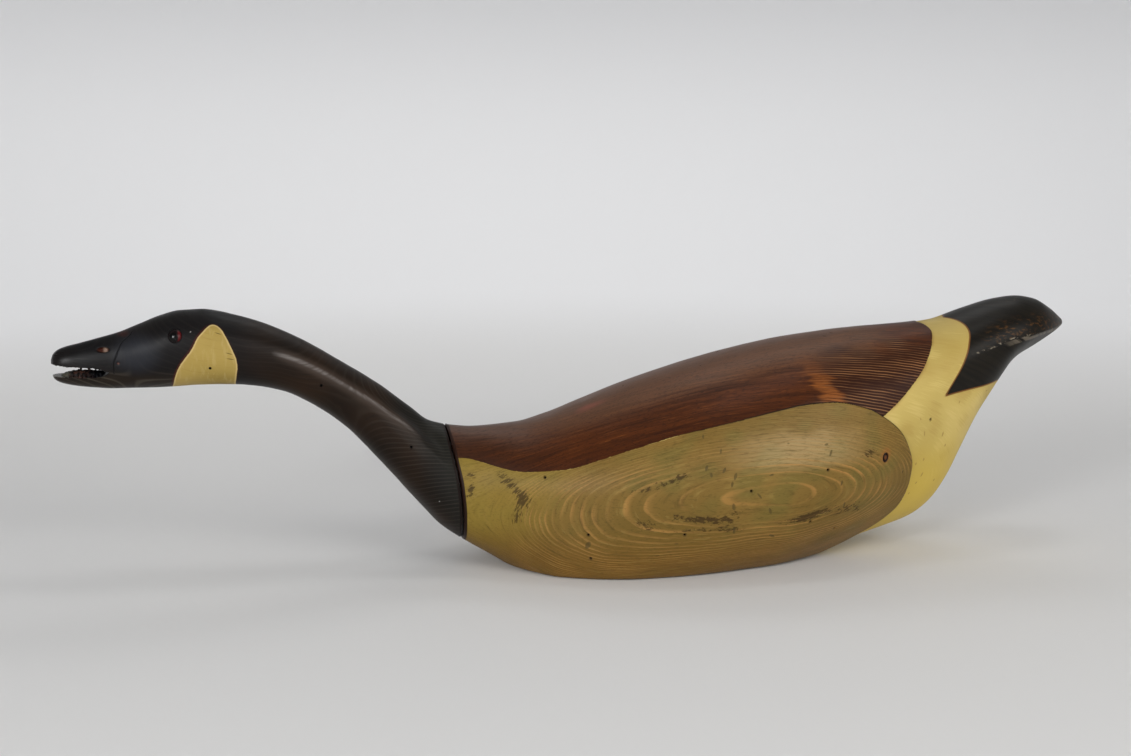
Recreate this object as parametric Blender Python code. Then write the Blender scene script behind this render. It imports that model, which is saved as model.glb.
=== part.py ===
"""A carved wooden goose decoy with an outstretched neck and an open bill.

The decoy is four solids: the body, the head and neck (one carving, seated against a sloping cut on
the breast) and two glass eyes set in sockets. Each carving is a loft through sections that stand
between two side-view outlines, with its half width taken from a top-view outline, as a carver works
from a side pattern and a top pattern. The underside of the body is planed flat at z = 0.

Frame: +Z up, the head towards -X and the tail towards +X, origin in the middle of the length on the
flat base. Lengths in the outlines are millimetres, and MM turns them into metres.
"""

import math

import bmesh
import bpy
import numpy as np
from mathutils import Matrix, Vector
from mathutils.bvhtree import BVHTree

MM = 0.001

# Driving dimensions, in millimetres. The neck meets the body on the sloping line between SEAM_TOP
# and SEAM_BOTTOM, and the body's sections stand upright again LEAN_FADE behind it.
LENGTH = 965.0
TAIL_X = LENGTH / 2
BILL_X = -LENGTH / 2
SEAM_TOP = (-128.0, 133.0)
SEAM_BOTTOM = (-115.6, 26.0)
SEAM_CHAMFER = 2.6
LEAN_FADE = 60.0
GAP = 0.3
GAPE_HALF_WIDTH = 40.0

# Side pattern of the body, seen from its left side: (x, z)
BACK_LINE = [
    (-128, 133), (-100, 129.5), (-60, 131.5), (-30, 138.5), (0, 148.5), (50, 166.5), (100, 182),
    (150, 195), (205, 206), (260, 212.5), (320, 216.5), (352, 219.5), (385, 230), (415, 238.5),
    (435, 241), (452, 238.5), (467, 230), (TAIL_X, 217),
]
BELLY_LINE = [
    (-115.6, 26), (-93, 11.5), (-74, -1), (-54, -13), (-30, -24), (10, -27), (60, -28), (110, -27),
    (160, -22.5), (205, -13), (236, -2.5), (270, 8.5), (302, 17), (327, 26), (344, 38), (359, 57),
    (374, 87), (389, 118), (406, 144), (428, 173), (460, 194), (TAIL_X, 210),
]
WIDEST_LINE = [
    (-122, 74), (-60, 75), (0, 78), (80, 84), (160, 90), (230, 99), (280, 118), (320, 148), (348, 173),
    (375, 189), (414, 203), (445, 210), (TAIL_X, 213.5),
]

# Top pattern of the body: (x, half width)
BODY_HALF_WIDTH = [
    (-122, 46.5), (-100, 53), (-70, 69), (-35, 88), (10, 106), (60, 117), (115, 122), (165, 120.5),
    (215, 112.5), (262, 97), (305, 79), (340, 65), (370, 55.5), (400, 50), (430, 45), (445, 39.5),
    (459, 30), (470, 19.5), (478, 10), (TAIL_X, 4),
]

# Side pattern of the head and neck: (x, z) along the top and along the underside
CROWN_LINE = [
    (BILL_X, 205.5), (-481, 209.5), (-475, 214.5), (-457, 219.5), (-422, 228.5), (-404, 235.5),
    (-386, 242.5), (-368, 246.5), (-350, 246.8), (-320, 241), (-297, 234), (-262, 218), (-226, 196.5),
    (-190, 173), (-162, 151), (-144, 138), SEAM_TOP,
]
THROAT_LINE = [
    (BILL_X, 193), (-480.5, 188), (-474, 184), (-458, 180.5), (-424, 177.5), (-390, 177.5),
    (-353, 178.8), (-320, 178), (-299, 175.5), (-278, 170.5), (-258, 161), (-227, 139.5),
    (-191, 101.5), (-154, 58.5), (-135, 39.5), SEAM_BOTTOM,
]

# Where each neck section meets the crown line and the throat line, its half width, how far up the
# section it is widest, and how full its upper half is: (x on crown, x on throat, half width, share
# of height, fullness)
NECK_SECTIONS = [
    (BILL_X, BILL_X, 3.5, 0.50, 2.2), (-480, -480, 8.5, 0.50, 2.2), (-474, -474, 12.5, 0.50, 2.2),
    (-455, -455, 16, 0.48, 2.2), (-425, -425, 20.5, 0.46, 2.2), (-403, -403, 26.5, 0.47, 2.2),
    (-378, -378, 31.5, 0.50, 2.3), (-350, -350, 33.5, 0.50, 2.3), (-318, -322, 32.5, 0.50, 2.2),
    (-284, -298, 30.5, 0.50, 2.1), (-246, -272, 29.5, 0.50, 2.0), (-212, -240, 29.5, 0.51, 1.9),
    (-184, -206, 31.5, 0.52, 1.8), (-160, -172, 36, 0.51, 1.75), (-142, -142, 41.5, 0.49, 1.8),
    (SEAM_TOP[0], SEAM_BOTTOM[0], 46.5, 0.47, 1.9),
]
THROAT_FULLNESS = 2.25

# How square a body section is: 2 is an ellipse, more is fuller, and 1 is straight to the edge
FULLNESS_ABOVE = [(-122, 1.9), (-60, 2.0), (300, 2.1), (400, 1.9), (TAIL_X, 1.9)]
FULLNESS_BELOW = [
    (-122, 2.25), (-60, 2.7), (-30, 3.0), (10, 3.0), (60, 2.6), (100, 2.3), (142, 2.05), (185, 1.95),
    (215, 1.88), (300, 1.9), (340, 2.0), (395, 1.7), (425, 1.25), (450, 1.1), (TAIL_X, 1.5),
]

# The open bill: the side pattern of the gape, cut through the full width, and the tongue left in it
GAPE_OUTLINE = [
    (-500, 203), (-478, 201.4), (-464, 199.8), (-450, 199), (-440, 197.6), (-431.5, 194.8),
    (-437, 191.4), (-452, 190.2), (-471, 190.6), (-500, 192),
]
TONGUE_PLACE = (-455, 189.5)
TONGUE_RADII = (19, 5.5, 5.2)

# Recesses on both sides of the head: (x, z) of the middle, and radii along, across and up
NOSTRIL_PLACE = (-436.6, 216.0)
NOSTRIL_RADII = (6.2, 5.0, 2.7)
EYE_PLACE = (-372.6, 227.6)
EYE_RADII = (6.6, 4.4, 6.6)
EYE_PROUD = 2.6

# How finely the lofts and balls are divided
BODY_STATIONS = 56
BODY_POINTS = 40
NECK_STATIONS = 60
NECK_POINTS = 30
BALL_SEGMENTS = 18
BALL_RINGS = 10

# Base colour and roughness of each piece
FINISHES = {
    "body": ((0.30, 0.22, 0.07), 0.42),
    "head_and_neck": ((0.035, 0.030, 0.026), 0.38),
    "left_eye": ((0.10, 0.02, 0.012), 0.05),
    "right_eye": ((0.10, 0.02, 0.012), 0.05),
}


def smooth_curve(points):
    """A function through (x, value) points: a cubic whose slopes never overshoot the points."""
    xs, values = np.array(points, float).T
    steps = np.diff(xs)
    secants = np.diff(values) / steps
    slopes = np.empty_like(xs)
    slopes[0], slopes[-1] = secants[0], secants[-1]
    weights = (2 * steps[1:] + steps[:-1], steps[1:] + 2 * steps[:-1])
    turning = secants[:-1] * secants[1:] <= 0
    safe = np.where(turning, 1.0, secants[:-1]), np.where(turning, 1.0, secants[1:])
    harmonic = (weights[0] + weights[1]) / (weights[0] / safe[0] + weights[1] / safe[1])
    slopes[1:-1] = np.where(turning, 0.0, harmonic)

    def curve(x):
        x = np.clip(x, xs[0], xs[-1])
        i = np.clip(np.searchsorted(xs, x) - 1, 0, len(steps) - 1)
        t = (x - xs[i]) / steps[i]
        rest = 1 - t
        return (
            values[i] * rest * rest * (1 + 2 * t)
            + values[i + 1] * t * t * (3 - 2 * t)
            + steps[i] * slopes[i] * t * rest * rest
            - steps[i] * slopes[i + 1] * t * t * rest
        )

    return curve


def section_ring(top, bottom, half_width, widest, above, below, count):
    """Points round one section, from its top: widest is the share of its height where it is widest."""
    top, bottom = np.array(top), np.array(bottom)
    ring = []
    for turn in np.linspace(0, 2 * math.pi, count, endpoint=False):
        side, lift = math.sin(turn), math.cos(turn)
        power = 2 / (above if lift > 0 else below)
        reach = math.copysign(abs(side) ** power, side) * half_width
        share = widest + abs(lift) ** power * (1 - widest if lift > 0 else -widest)
        x, z = bottom + (top - bottom) * share
        ring.append(Vector((x, -reach, z)) * MM)
    return ring


def shrunk(ring, amount):
    """The ring drawn in towards its middle by about the amount, in millimetres."""
    middle = sum(ring, Vector()) / len(ring)
    return [p + (middle - p).normalized() * amount * MM for p in ring]


def shifted(ring, distance):
    return [p + Vector((distance * MM, 0, 0)) for p in ring]


def eased_shares(count, start_ease, end_ease):
    """Shares from 0 to 1 that crowd towards each end as much as its ease says, from 0 to 1."""
    even = np.linspace(0, 1, count)
    crowded = (1 - np.cos(math.pi * even)) / 2
    ease = start_ease * (1 - even) + end_ease * even
    return even * (1 - ease) + crowded * ease


def body_rings():
    back, belly, widest, half_width, above, below = (
        smooth_curve(line)
        for line in (BACK_LINE, BELLY_LINE, WIDEST_LINE, BODY_HALF_WIDTH, FULLNESS_ABOVE, FULLNESS_BELOW)
    )
    seam_x = (SEAM_TOP[0] + SEAM_BOTTOM[0]) / 2
    rings = []
    for share in eased_shares(BODY_STATIONS, 0.2, 0.9):
        x = seam_x + (TAIL_X - seam_x) * share
        lean = max(0.0, 1 - (x - seam_x) / LEAN_FADE) ** 2
        top_x = x + lean * (SEAM_TOP[0] - seam_x)
        bottom_x = x + lean * (SEAM_BOTTOM[0] - seam_x)
        top = (top_x, back(top_x))
        bottom = (bottom_x, belly(bottom_x))
        height_share = (widest(x) - bottom[1]) / (top[1] - bottom[1])
        rings.append(section_ring(top, bottom, half_width(x), height_share, above(x), below(x), BODY_POINTS))
    edge = shifted(shrunk(rings[0], SEAM_CHAMFER), GAP / 2)
    return [edge, shifted(rings[0], SEAM_CHAMFER)] + rings[2:]


def neck_rings():
    crown, throat = smooth_curve(CROWN_LINE), smooth_curve(THROAT_LINE)
    columns = np.array(NECK_SECTIONS, float).T
    spans = (np.diff(columns[0]) + np.diff(columns[1])) / 2
    along = np.concatenate([[0], np.cumsum(spans)]) / spans.sum()
    curves = [smooth_curve(list(zip(along, column))) for column in columns]
    rings = []
    for share in eased_shares(NECK_STATIONS, 0.8, 0.0):
        top_x, bottom_x, half_width, widest, above = (curve(share) for curve in curves)
        top = (top_x, crown(top_x))
        bottom = (bottom_x, throat(bottom_x))
        rings.append(section_ring(top, bottom, half_width, widest, above, THROAT_FULLNESS, NECK_POINTS))
    rings[-1] = shifted(rings[-1], -GAP / 2)
    return rings


def loft(name, rings):
    """A closed mesh through rings that have the same number of points, with flat ends."""
    bm = bmesh.new()
    loops = [[bm.verts.new(p) for p in ring] for ring in rings]
    for near, far in zip(loops, loops[1:]):
        for i in range(len(near)):
            bm.faces.new((near[i - 1], near[i], far[i], far[i - 1]))
    bm.faces.new(loops[0])
    bm.faces.new(loops[-1])
    bmesh.ops.recalc_face_normals(bm, faces=bm.faces[:])
    return finished_object(name, bm)


def finished_object(name, bm):
    mesh = bpy.data.meshes.new(name)
    bm.to_mesh(mesh)
    bm.free()
    return bpy.data.objects.new(name, mesh)


def plane_off_underside(obj):
    """Plane the underside flat at z = 0, and close it with one face."""
    bm = bmesh.new()
    bm.from_mesh(obj.data)
    everything = bm.verts[:] + bm.edges[:] + bm.faces[:]
    cut = bmesh.ops.bisect_plane(
        bm, geom=everything, dist=1e-7, plane_co=(0, 0, 0), plane_no=(0, 0, -1), clear_outer=True
    )
    rim = [e for e in cut["geom_cut"] if isinstance(e, bmesh.types.BMEdge)]
    bmesh.ops.contextual_create(bm, geom=rim)
    bmesh.ops.recalc_face_normals(bm, faces=bm.faces[:])
    bm.to_mesh(obj.data)
    bm.free()


def ball(name, middle, radii, facing=(0, 1, 0)):
    """An ellipsoid whose second radius lies along facing; middle and radii in millimetres."""
    bm = bmesh.new()
    bmesh.ops.create_uvsphere(bm, u_segments=BALL_SEGMENTS, v_segments=BALL_RINGS, radius=1)
    along, across, up = (r * MM for r in radii)
    pole_out = Matrix.Rotation(math.radians(90), 4, "X")
    scale = Matrix.Diagonal((along, across, up, 1))
    turn = Vector((0, 1, 0)).rotation_difference(Vector(facing)).to_matrix().to_4x4()
    place = Matrix.Translation(Vector(middle) * MM)
    bmesh.ops.transform(bm, matrix=place @ turn @ scale @ pole_out, verts=bm.verts)
    return finished_object(name, bm)


def prism(name, outline, half_width):
    """An (x, z) outline in millimetres, made solid from -half_width to +half_width in Y."""
    bm = bmesh.new()
    sides = [[bm.verts.new(Vector((x, y, z)) * MM) for x, z in outline] for y in (-half_width, half_width)]
    for i in range(len(outline)):
        bm.faces.new((sides[0][i - 1], sides[0][i], sides[1][i], sides[1][i - 1]))
    bm.faces.new(sides[0])
    bm.faces.new(sides[1])
    bmesh.ops.recalc_face_normals(bm, faces=bm.faces[:])
    return finished_object(name, bm)


def surface_point(obj, side, place):
    """The point in millimetres, and the outward normal, where the head is met at (x, z) from one side."""
    surface = BVHTree.FromPolygons(
        [v.co for v in obj.data.vertices], [tuple(p.vertices) for p in obj.data.polygons]
    )
    outside = Vector((place[0], side * 2 * GAPE_HALF_WIDTH, place[1])) * MM
    point, normal, _, _ = surface.ray_cast(outside, Vector((0, -side, 0)))
    return point / MM, normal


def cut(obj, cutter, operation="DIFFERENCE"):
    modifier = obj.modifiers.new(cutter.name, "BOOLEAN")
    modifier.object = cutter
    modifier.operation = operation
    modifier.solver = "EXACT"
    cutter.hide_render = True
    cutter.display_type = "WIRE"


def paint(obj):
    colour, roughness = FINISHES[obj.name]
    material = bpy.data.materials.new(obj.name)
    material.use_nodes = True
    shader = material.node_tree.nodes["Principled BSDF"]
    shader.inputs["Base Color"].default_value = (*colour, 1)
    shader.inputs["Roughness"].default_value = roughness
    material.diffuse_color = (*colour, 1)
    obj.data.materials.append(material)
    obj.data.shade_smooth()


def collection(name):
    made = bpy.data.collections.new(name)
    bpy.context.scene.collection.children.link(made)
    return made


def make_body():
    body = loft("body", body_rings())
    plane_off_underside(body)
    return body


def make_head_and_neck(cutters):
    """The head and neck with its gape, tongue, nostrils and eye sockets, and the eyes in them."""
    head = loft("head_and_neck", neck_rings())
    pieces = [head]
    holes = [prism("gape", GAPE_OUTLINE, GAPE_HALF_WIDTH)]
    for side, name in ((-1, "left"), (1, "right")):
        middle, _ = surface_point(head, side, NOSTRIL_PLACE)
        holes.append(ball(f"{name}_nostril", middle, NOSTRIL_RADII))
        middle, normal = surface_point(head, side, EYE_PLACE)
        middle = middle + normal * (EYE_PROUD - EYE_RADII[1])
        holes.append(ball(f"{name}_socket", middle, [r + GAP for r in EYE_RADII], normal))
        pieces.append(ball(f"{name}_eye", middle, EYE_RADII, normal))
    tongue = ball("tongue", (TONGUE_PLACE[0], 0, TONGUE_PLACE[1]), TONGUE_RADII)
    for hole in holes:
        cutters.objects.link(hole)
        cut(head, hole)
    cutters.objects.link(tongue)
    cut(head, tongue, "UNION")
    return pieces


def main():
    for obj in list(bpy.data.objects):
        bpy.data.objects.remove(obj)
    decoy = collection("Goose decoy")
    cutters = collection("Cutters")
    for piece in [make_body()] + make_head_and_neck(cutters):
        paint(piece)
        decoy.objects.link(piece)


main()
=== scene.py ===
"""The looks of a carved wooden goose decoy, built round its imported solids.

Each carving is made again as a fine mesh over the same lofted outlines as its solid: a coarse net laid on
the surface is split until its edges are as short as the work there needs, and the cut lines, the raised
flank, the dents, the nail holes and the eased edges are then carved into it. Every point also learns how
far it is from each painted edge, so that the paint lines stay crisp, and how far it is from the pith line
of the tree that the piece was cut from, so that the growth rings run through the wood.

Frame: +Z up, the head towards -X, the tail towards +X, the left side towards -Y. Lengths in the outlines
are millimetres, and MM turns them into metres.
"""

import math

import bmesh
import bpy
import numpy as np
from mathutils import Matrix, Vector
from mathutils.bvhtree import BVHTree


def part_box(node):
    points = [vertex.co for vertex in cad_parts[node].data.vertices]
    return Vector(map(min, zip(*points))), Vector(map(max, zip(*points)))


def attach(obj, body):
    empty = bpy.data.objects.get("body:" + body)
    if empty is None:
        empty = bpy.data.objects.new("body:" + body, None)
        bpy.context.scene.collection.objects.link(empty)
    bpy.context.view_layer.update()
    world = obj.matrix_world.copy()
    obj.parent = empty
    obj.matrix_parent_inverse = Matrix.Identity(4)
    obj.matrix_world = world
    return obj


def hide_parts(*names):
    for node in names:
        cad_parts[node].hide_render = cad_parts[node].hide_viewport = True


MM = 0.001

# The outlines of the two carvings, as their solids have them: (x, z) from the side
LENGTH = 965.0
TAIL_X = LENGTH / 2
BILL_X = -LENGTH / 2
SEAM_TOP = (-128.0, 133.0)
SEAM_BOTTOM = (-115.6, 26.0)
SEAM_X = (SEAM_TOP[0] + SEAM_BOTTOM[0]) / 2
SEAM_CHAMFER = 2.6
SEAM_BOW = 2.8
LEAN_FADE = 60.0
GAP = 0.3
BACK_LINE = [
    (-128, 133), (-100, 129.5), (-60, 131.5), (-30, 138.5), (0, 148.5), (50, 166.5), (100, 182),
    (150, 195), (205, 206), (260, 212.5), (320, 216.5), (352, 219.5), (385, 230), (415, 238.5),
    (435, 241), (452, 238.5), (467, 230), (TAIL_X, 217),
]
BELLY_LINE = [
    (-115.6, 26), (-93, 11.5), (-74, -1), (-54, -13), (-30, -24), (10, -27), (60, -28), (110, -27),
    (160, -22.5), (205, -13), (236, -2.5), (270, 8.5), (302, 17), (327, 26), (344, 38), (359, 57),
    (374, 87), (389, 118), (406, 144), (428, 173), (460, 194), (TAIL_X, 210),
]
WIDEST_LINE = [
    (-122, 74), (-60, 75), (0, 78), (80, 84), (160, 90), (230, 99), (280, 118), (320, 148), (348, 173),
    (375, 189), (414, 203), (445, 210), (TAIL_X, 213.5),
]
BODY_HALF_WIDTH = [
    (-122, 46.5), (-100, 53), (-70, 69), (-35, 88), (10, 106), (60, 117), (115, 122), (165, 120.5),
    (215, 112.5), (262, 97), (305, 79), (340, 65), (370, 55.5), (400, 50), (430, 45), (445, 39.5),
    (459, 30), (470, 19.5), (478, 10), (TAIL_X, 4),
]
CROWN_LINE = [
    (BILL_X, 205.5), (-481, 209.5), (-475, 214.5), (-457, 219.5), (-422, 228.5), (-404, 235.5),
    (-386, 242.5), (-368, 246.5), (-350, 246.8), (-320, 241), (-297, 234), (-262, 218), (-226, 196.5),
    (-190, 173), (-162, 151), (-144, 138), SEAM_TOP,
]
THROAT_LINE = [
    (BILL_X, 193), (-480.5, 188), (-474, 184), (-458, 180.5), (-424, 177.5), (-390, 177.5),
    (-353, 178.8), (-320, 178), (-299, 175.5), (-278, 170.5), (-258, 161), (-227, 139.5),
    (-191, 101.5), (-154, 58.5), (-135, 39.5), SEAM_BOTTOM,
]
NECK_SECTIONS = [
    (BILL_X, BILL_X, 3.5, 0.50, 2.2), (-480, -480, 8.5, 0.50, 2.2), (-474, -474, 12.5, 0.50, 2.2),
    (-455, -455, 16, 0.48, 2.2), (-425, -425, 20.5, 0.46, 2.2), (-403, -403, 26.5, 0.47, 2.2),
    (-378, -378, 31.5, 0.50, 2.3), (-350, -350, 33.5, 0.50, 2.3), (-318, -322, 32.5, 0.50, 2.2),
    (-284, -298, 30.5, 0.50, 2.1), (-246, -272, 29.5, 0.50, 2.0), (-212, -240, 29.5, 0.51, 1.9),
    (-184, -206, 31.5, 0.52, 1.8), (-160, -172, 36, 0.51, 1.75), (-142, -142, 41.5, 0.49, 1.8),
    (SEAM_TOP[0], SEAM_BOTTOM[0], 46.5, 0.47, 1.9),
]
THROAT_FULLNESS = 2.25
FULLNESS_ABOVE = [(-122, 1.9), (-60, 2.0), (300, 2.1), (400, 1.9), (TAIL_X, 1.9)]
FULLNESS_BELOW = [
    (-122, 2.25), (-60, 2.7), (-30, 3.0), (10, 3.0), (60, 2.6), (100, 2.3), (142, 2.05), (185, 1.95),
    (215, 1.88), (300, 1.9), (340, 2.0), (395, 1.7), (425, 1.25), (450, 1.1), (TAIL_X, 1.5),
]

# Lines on the left side of the body, as (x, y, z) near its surface. The right side mirrors them.
FLANK_EDGE = [
    (-140, -36, 110), (-115, -38, 108), (-103, -43, 106), (-73, -60, 99), (-46, -74, 101),
    (-19, -85, 106), (25, -94, 121), (69, -98, 134), (105, -101, 142), (163, -99, 154), (187, -97, 158),
    (215, -94, 159), (234, -93, 157), (254, -92, 151), (268, -91, 143), (279, -89, 135),
    (290, -85, 123), (300, -78, 105), (304, -73, 91), (303, -64, 68), (297, -57, 50), (288, -54, 41),
    (274, -51, 30), (254, -48, 17), (234, -44, 5), (210, -40, -8),
]
SADDLE_EDGE = [
    (332, 0, 217), (335, -7, 217), (337, -26, 214), (333, -40, 207), (327, -52, 197), (316, -64, 183),
    (303, -73, 170), (288, -81, 157), (268, -91, 143), (246, -100, 128),
]
TAIL_EDGE = [
    (360, 0, 221), (364, -13, 221), (369, -28, 218), (370, -40, 212), (366, -50, 202), (362, -55, 193),
    (352, -61, 176), (337, -66, 155), (322, -71, 134),
]
TAIL_UNDER_EDGE = [
    (310, -75, 149), (337, -66, 155), (365, -55, 159), (386, -46, 161), (403, -34, 163),
    (412, -15, 160), (415, 0, 158),
]
TAIL_CREASE = [(477, -10, 211), (450, -35, 209), (413, -48, 205), (371, -55, 192), (344, -59, 187)]

# How far along its edge the flank's scribed line grows, and then its raised step
SCRIBED_GROWS = (215, 330)
STEP_GROWS = (355, 440)

# Lines on the left side of the head and neck
CHEEK_EDGE = [
    (-321, -8, 176), (-321, -16, 181), (-320, -27, 190), (-319, -31, 198), (-320, -32, 206),
    (-323, -32, 214), (-328, -30, 225), (-332, -27, 232), (-336, -25, 235.5), (-340, -25, 236.5),
    (-344, -27, 235), (-348, -29, 231), (-353, -32, 226), (-359, -33, 215), (-366, -32, 206),
    (-371, -30, 198), (-374, -26, 190), (-376, -17, 182), (-377, -8, 178), (-377, 4, 177),
]
FACE_LINE = [
    (-410, -12, 229), (-413, -15, 227), (-419, -16, 222), (-423, -19, 215), (-425, -20, 209),
    (-427, -20, 203), (-427, -19, 194),
]
NECK_RIDGE = [
    (-286, -28, 210), (-272, -28, 206), (-261, -27, 201), (-246, -26, 193), (-227, -26, 181),
    (-210, -26, 170), (-197, -26, 161), (-185, -27, 152), (-170, -27, 141), (-156, -29, 128),
    (-143, -34, 114), (-130, -41, 98), (-117, -50, 82), (-100, -60, 62),
]

# The open bill: its upper and lower edge as (x, z), and the tongue left standing in it
GAPE_TOP = [(-500, 203), (-478, 201.4), (-464, 199.8), (-450, 199), (-440, 197.6), (-431.5, 194.8)]
GAPE_BOTTOM = [(-500, 192), (-471, 190.6), (-452, 190.2), (-437, 191.4), (-431.5, 194.8)]
GAPE_START = -495.0
GAPE_END = GAPE_TOP[-1][0]
GAPE_HALF_WIDTH = 32.0
TONGUE_MIDDLE = (-455.0, 0.0)
TONGUE_HALF_SIZE = (19.0, 5.5)
TONGUE_HEIGHT = 4.6
TEETH_FROM, TEETH_TO, TEETH_APART = -468.0, -438.0, 3.7
HANGING_TEETH = [-456.0, -449.0]

# Holes left by nails, (x, z) or on top of the body (x, y), and their radius
NAIL_RADIUS = 1.1
NAIL_DEPTH = 3.0
BODY_NAILS = [
    (-48, 96), (-12, 46), (-9, 23), (73, 47), (133, 86), (194, 51), (207, 101), (224, 39), (322, 135),
]
BACK_NAIL = (137, 16)
NECK_NAILS = [(-245, 179), (-165, 120), (-343, 198)]

NOSTRIL_HALF_SIZE = (6.4, 2.8)

# The knot near the rear of the flank
KNOT = (269.5, 105.5)
KNOT_HALF_SIZE = (3.4, 4.6)

# Dents: (x, z, half length, half width, tilt in degrees, depth)
FLANK_DENTS = [
    (92, 108, 2.6, 1.1, 70, 0.5), (96, 102, 2.2, 1.0, 100, 0.4), (108, 106, 2.8, 1.0, 60, 0.5),
    (118, 100, 3.5, 1.3, 75, 0.5), (115, 93, 3.0, 1.2, 80, 0.4), (206, 124, 2.2, 1.0, 10, 0.4),
    (210, 116, 3.2, 1.0, 65, 0.5), (141, 81, 3.6, 0.9, 130, 0.4), (152, 66, 3.2, 1.0, 110, 0.5),
    (152, 100, 2.6, 0.9, 20, 0.3), (106, 122, 3.0, 1.0, 80, 0.3), (92, 134, 2.4, 0.9, 90, 0.3),
    (157, 40, 3.2, 1.2, 150, 0.5), (117, 72, 3.4, 1.3, 100, 0.5), (222, 87, 3.0, 1.1, 80, 0.4),
    (169, 127, 1.6, 0.8, 0, 0.3), (292, 88, 1.8, 0.9, 85, 0.4), (228, 64, 3.6, 1.0, 95, 0.5),
    (-12, 36, 3.8, 2.0, 60, 0.5), (119, 49, 3.6, 1.1, 95, 0.6), (66, 38, 2.6, 0.8, 0, 0.3),
]
RUMP_DENTS = [
    (339, 118, 2.8, 0.9, 80, 0.4), (344, 106, 1.6, 0.8, 85, 0.4), (316, 122, 3.4, 0.9, 100, 0.3),
    (320, 79, 2.8, 0.9, 75, 0.4), (315, 71, 1.6, 0.9, 60, 0.4), (338, 70, 1.5, 0.8, 80, 0.4),
    (310, 92, 1.6, 1.0, 90, 0.3), (319, 95, 1.8, 1.0, 95, 0.3), (309, 60, 1.6, 0.9, 90, 0.3),
    (310, 137, 1.8, 0.8, 120, 0.3), (356, 148, 1.6, 0.8, 80, 0.3), (390, 155, 2.0, 0.9, 0, 0.3),
]
BACK_DENTS = [
    (234, -16, 3.4, 0.8, 10, 0.4), (243, -8, 3.0, 0.8, -5, 0.4), (41, 2, 2.0, 1.0, 30, 0.4),
    (111, -19, 1.4, 0.8, 20, 0.3), (176, -24, 1.6, 0.7, 0, 0.3), (256, -28, 2.0, 0.6, 0, 0.3),
]
RIGHT_DENTS = [
    (40, 70, 3.0, 1.0, 70, 0.4), (95, 118, 2.6, 1.0, 110, 0.4), (150, 52, 3.4, 1.0, 20, 0.4),
    (215, 90, 3.0, 1.1, 80, 0.5), (248, 62, 2.4, 0.9, 95, 0.4), (-40, 60, 3.2, 1.2, 60, 0.4),
    (330, 96, 2.6, 0.9, 80, 0.4), (322, 128, 2.0, 0.9, 100, 0.3), (10, 96, 2.4, 0.9, 40, 0.3),
]

# Torn and stained grain on the flank: (x, z, half length, half height, tilt in degrees, strength)
FLANK_SCUFFS = [
    (-80, 90, 14, 6, -35, 1.15), (-66, 78, 9, 9, -50, 0.9), (-71, 66, 12, 12, -40, 0.8),
    (-73, 54, 8, 6, -30, 0.8), (-112, 82, 5, 9, -10, 1.3), (-112, 94, 5, 3, 0, 1.1),
    (-110, 58, 4, 10, -80, 0.5), (45, 92, 34, 4, 14, 0.9), (68, 101, 10, 3, 20, 0.9),
    (36, 57, 14, 6, -5, 0.9), (76, 62, 30, 4, -4, 1.0), (106, 60, 22, 4, -2, 1.0), (84, 51, 34, 3, 0, 0.9),
    (120, 66, 14, 4, 0, 0.7), (115, 50, 14, 4, 0, 0.8), (55, 28, 16, 3, 0, 0.7), (48, 20, 12, 2, 0, 0.4),
    (185, 55, 26, 5, 8, 1.0), (200, 60, 24, 4, 12, 0.9), (232, 60, 16, 6, 20, 1.0),
    (246, 57, 10, 5, 30, 0.8), (252, 111, 10, 6, -10, 1.2), (98, 82, 12, 6, 0, 0.4),
    (215, 30, 22, 7, 14, 0.6), (32, 40, 10, 2, 0, 0.4),
]

# On the head: scratches (x, z, half length, half width, tilt), light specks, and the nick by the face line
CHEEK_SCRATCHES = [(-335, 229, 3.4, 0.4, -22), (-326, 211, 3.6, 0.4, -18), (-325, 206, 4.2, 0.4, -10)]
NECK_SPECKS = [(-359, 231), (-140, 69)]
FACE_NICK = (-423, 203)

# The camera stands where the photograph was taken
CAMERA_AZIMUTH = -11.0
CAMERA_ELEVATION = 11.5
CAMERA_DISTANCE = 1.709
CAMERA_AIM = (0.0, 0.0, 0.13)
PHOTO_SIZE = (1131, 756)
AIM_PIXEL = (581.3, 422.3)
FOCAL_PIXELS = 1800.0
SENSOR_WIDTH = 36.0


def smooth_curve(points):
    """A function through (x, value) points: a cubic whose slopes never overshoot the points."""
    xs, values = np.array(points, float).T
    steps = np.diff(xs)
    secants = np.diff(values) / steps
    slopes = np.empty_like(xs)
    slopes[0], slopes[-1] = secants[0], secants[-1]
    weights = (2 * steps[1:] + steps[:-1], steps[1:] + 2 * steps[:-1])
    turning = secants[:-1] * secants[1:] <= 0
    safe = np.where(turning, 1.0, secants[:-1]), np.where(turning, 1.0, secants[1:])
    harmonic = (weights[0] + weights[1]) / (weights[0] / safe[0] + weights[1] / safe[1])
    slopes[1:-1] = np.where(turning, 0.0, harmonic)

    def curve(x):
        x = np.clip(x, xs[0], xs[-1])
        i = np.clip(np.searchsorted(xs, x) - 1, 0, len(steps) - 1)
        t = (x - xs[i]) / steps[i]
        rest = 1 - t
        return (
            values[i] * rest * rest * (1 + 2 * t)
            + values[i + 1] * t * t * (3 - 2 * t)
            + steps[i] * slopes[i] * t * rest * rest
            - steps[i] * slopes[i + 1] * t * t * rest
        )

    return curve


def smooth_step(value, low, high):
    """0 below low, 1 above high, and an eased change between."""
    t = np.clip((value - low) / (high - low), 0, 1)
    return t * t * (3 - 2 * t)


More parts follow.
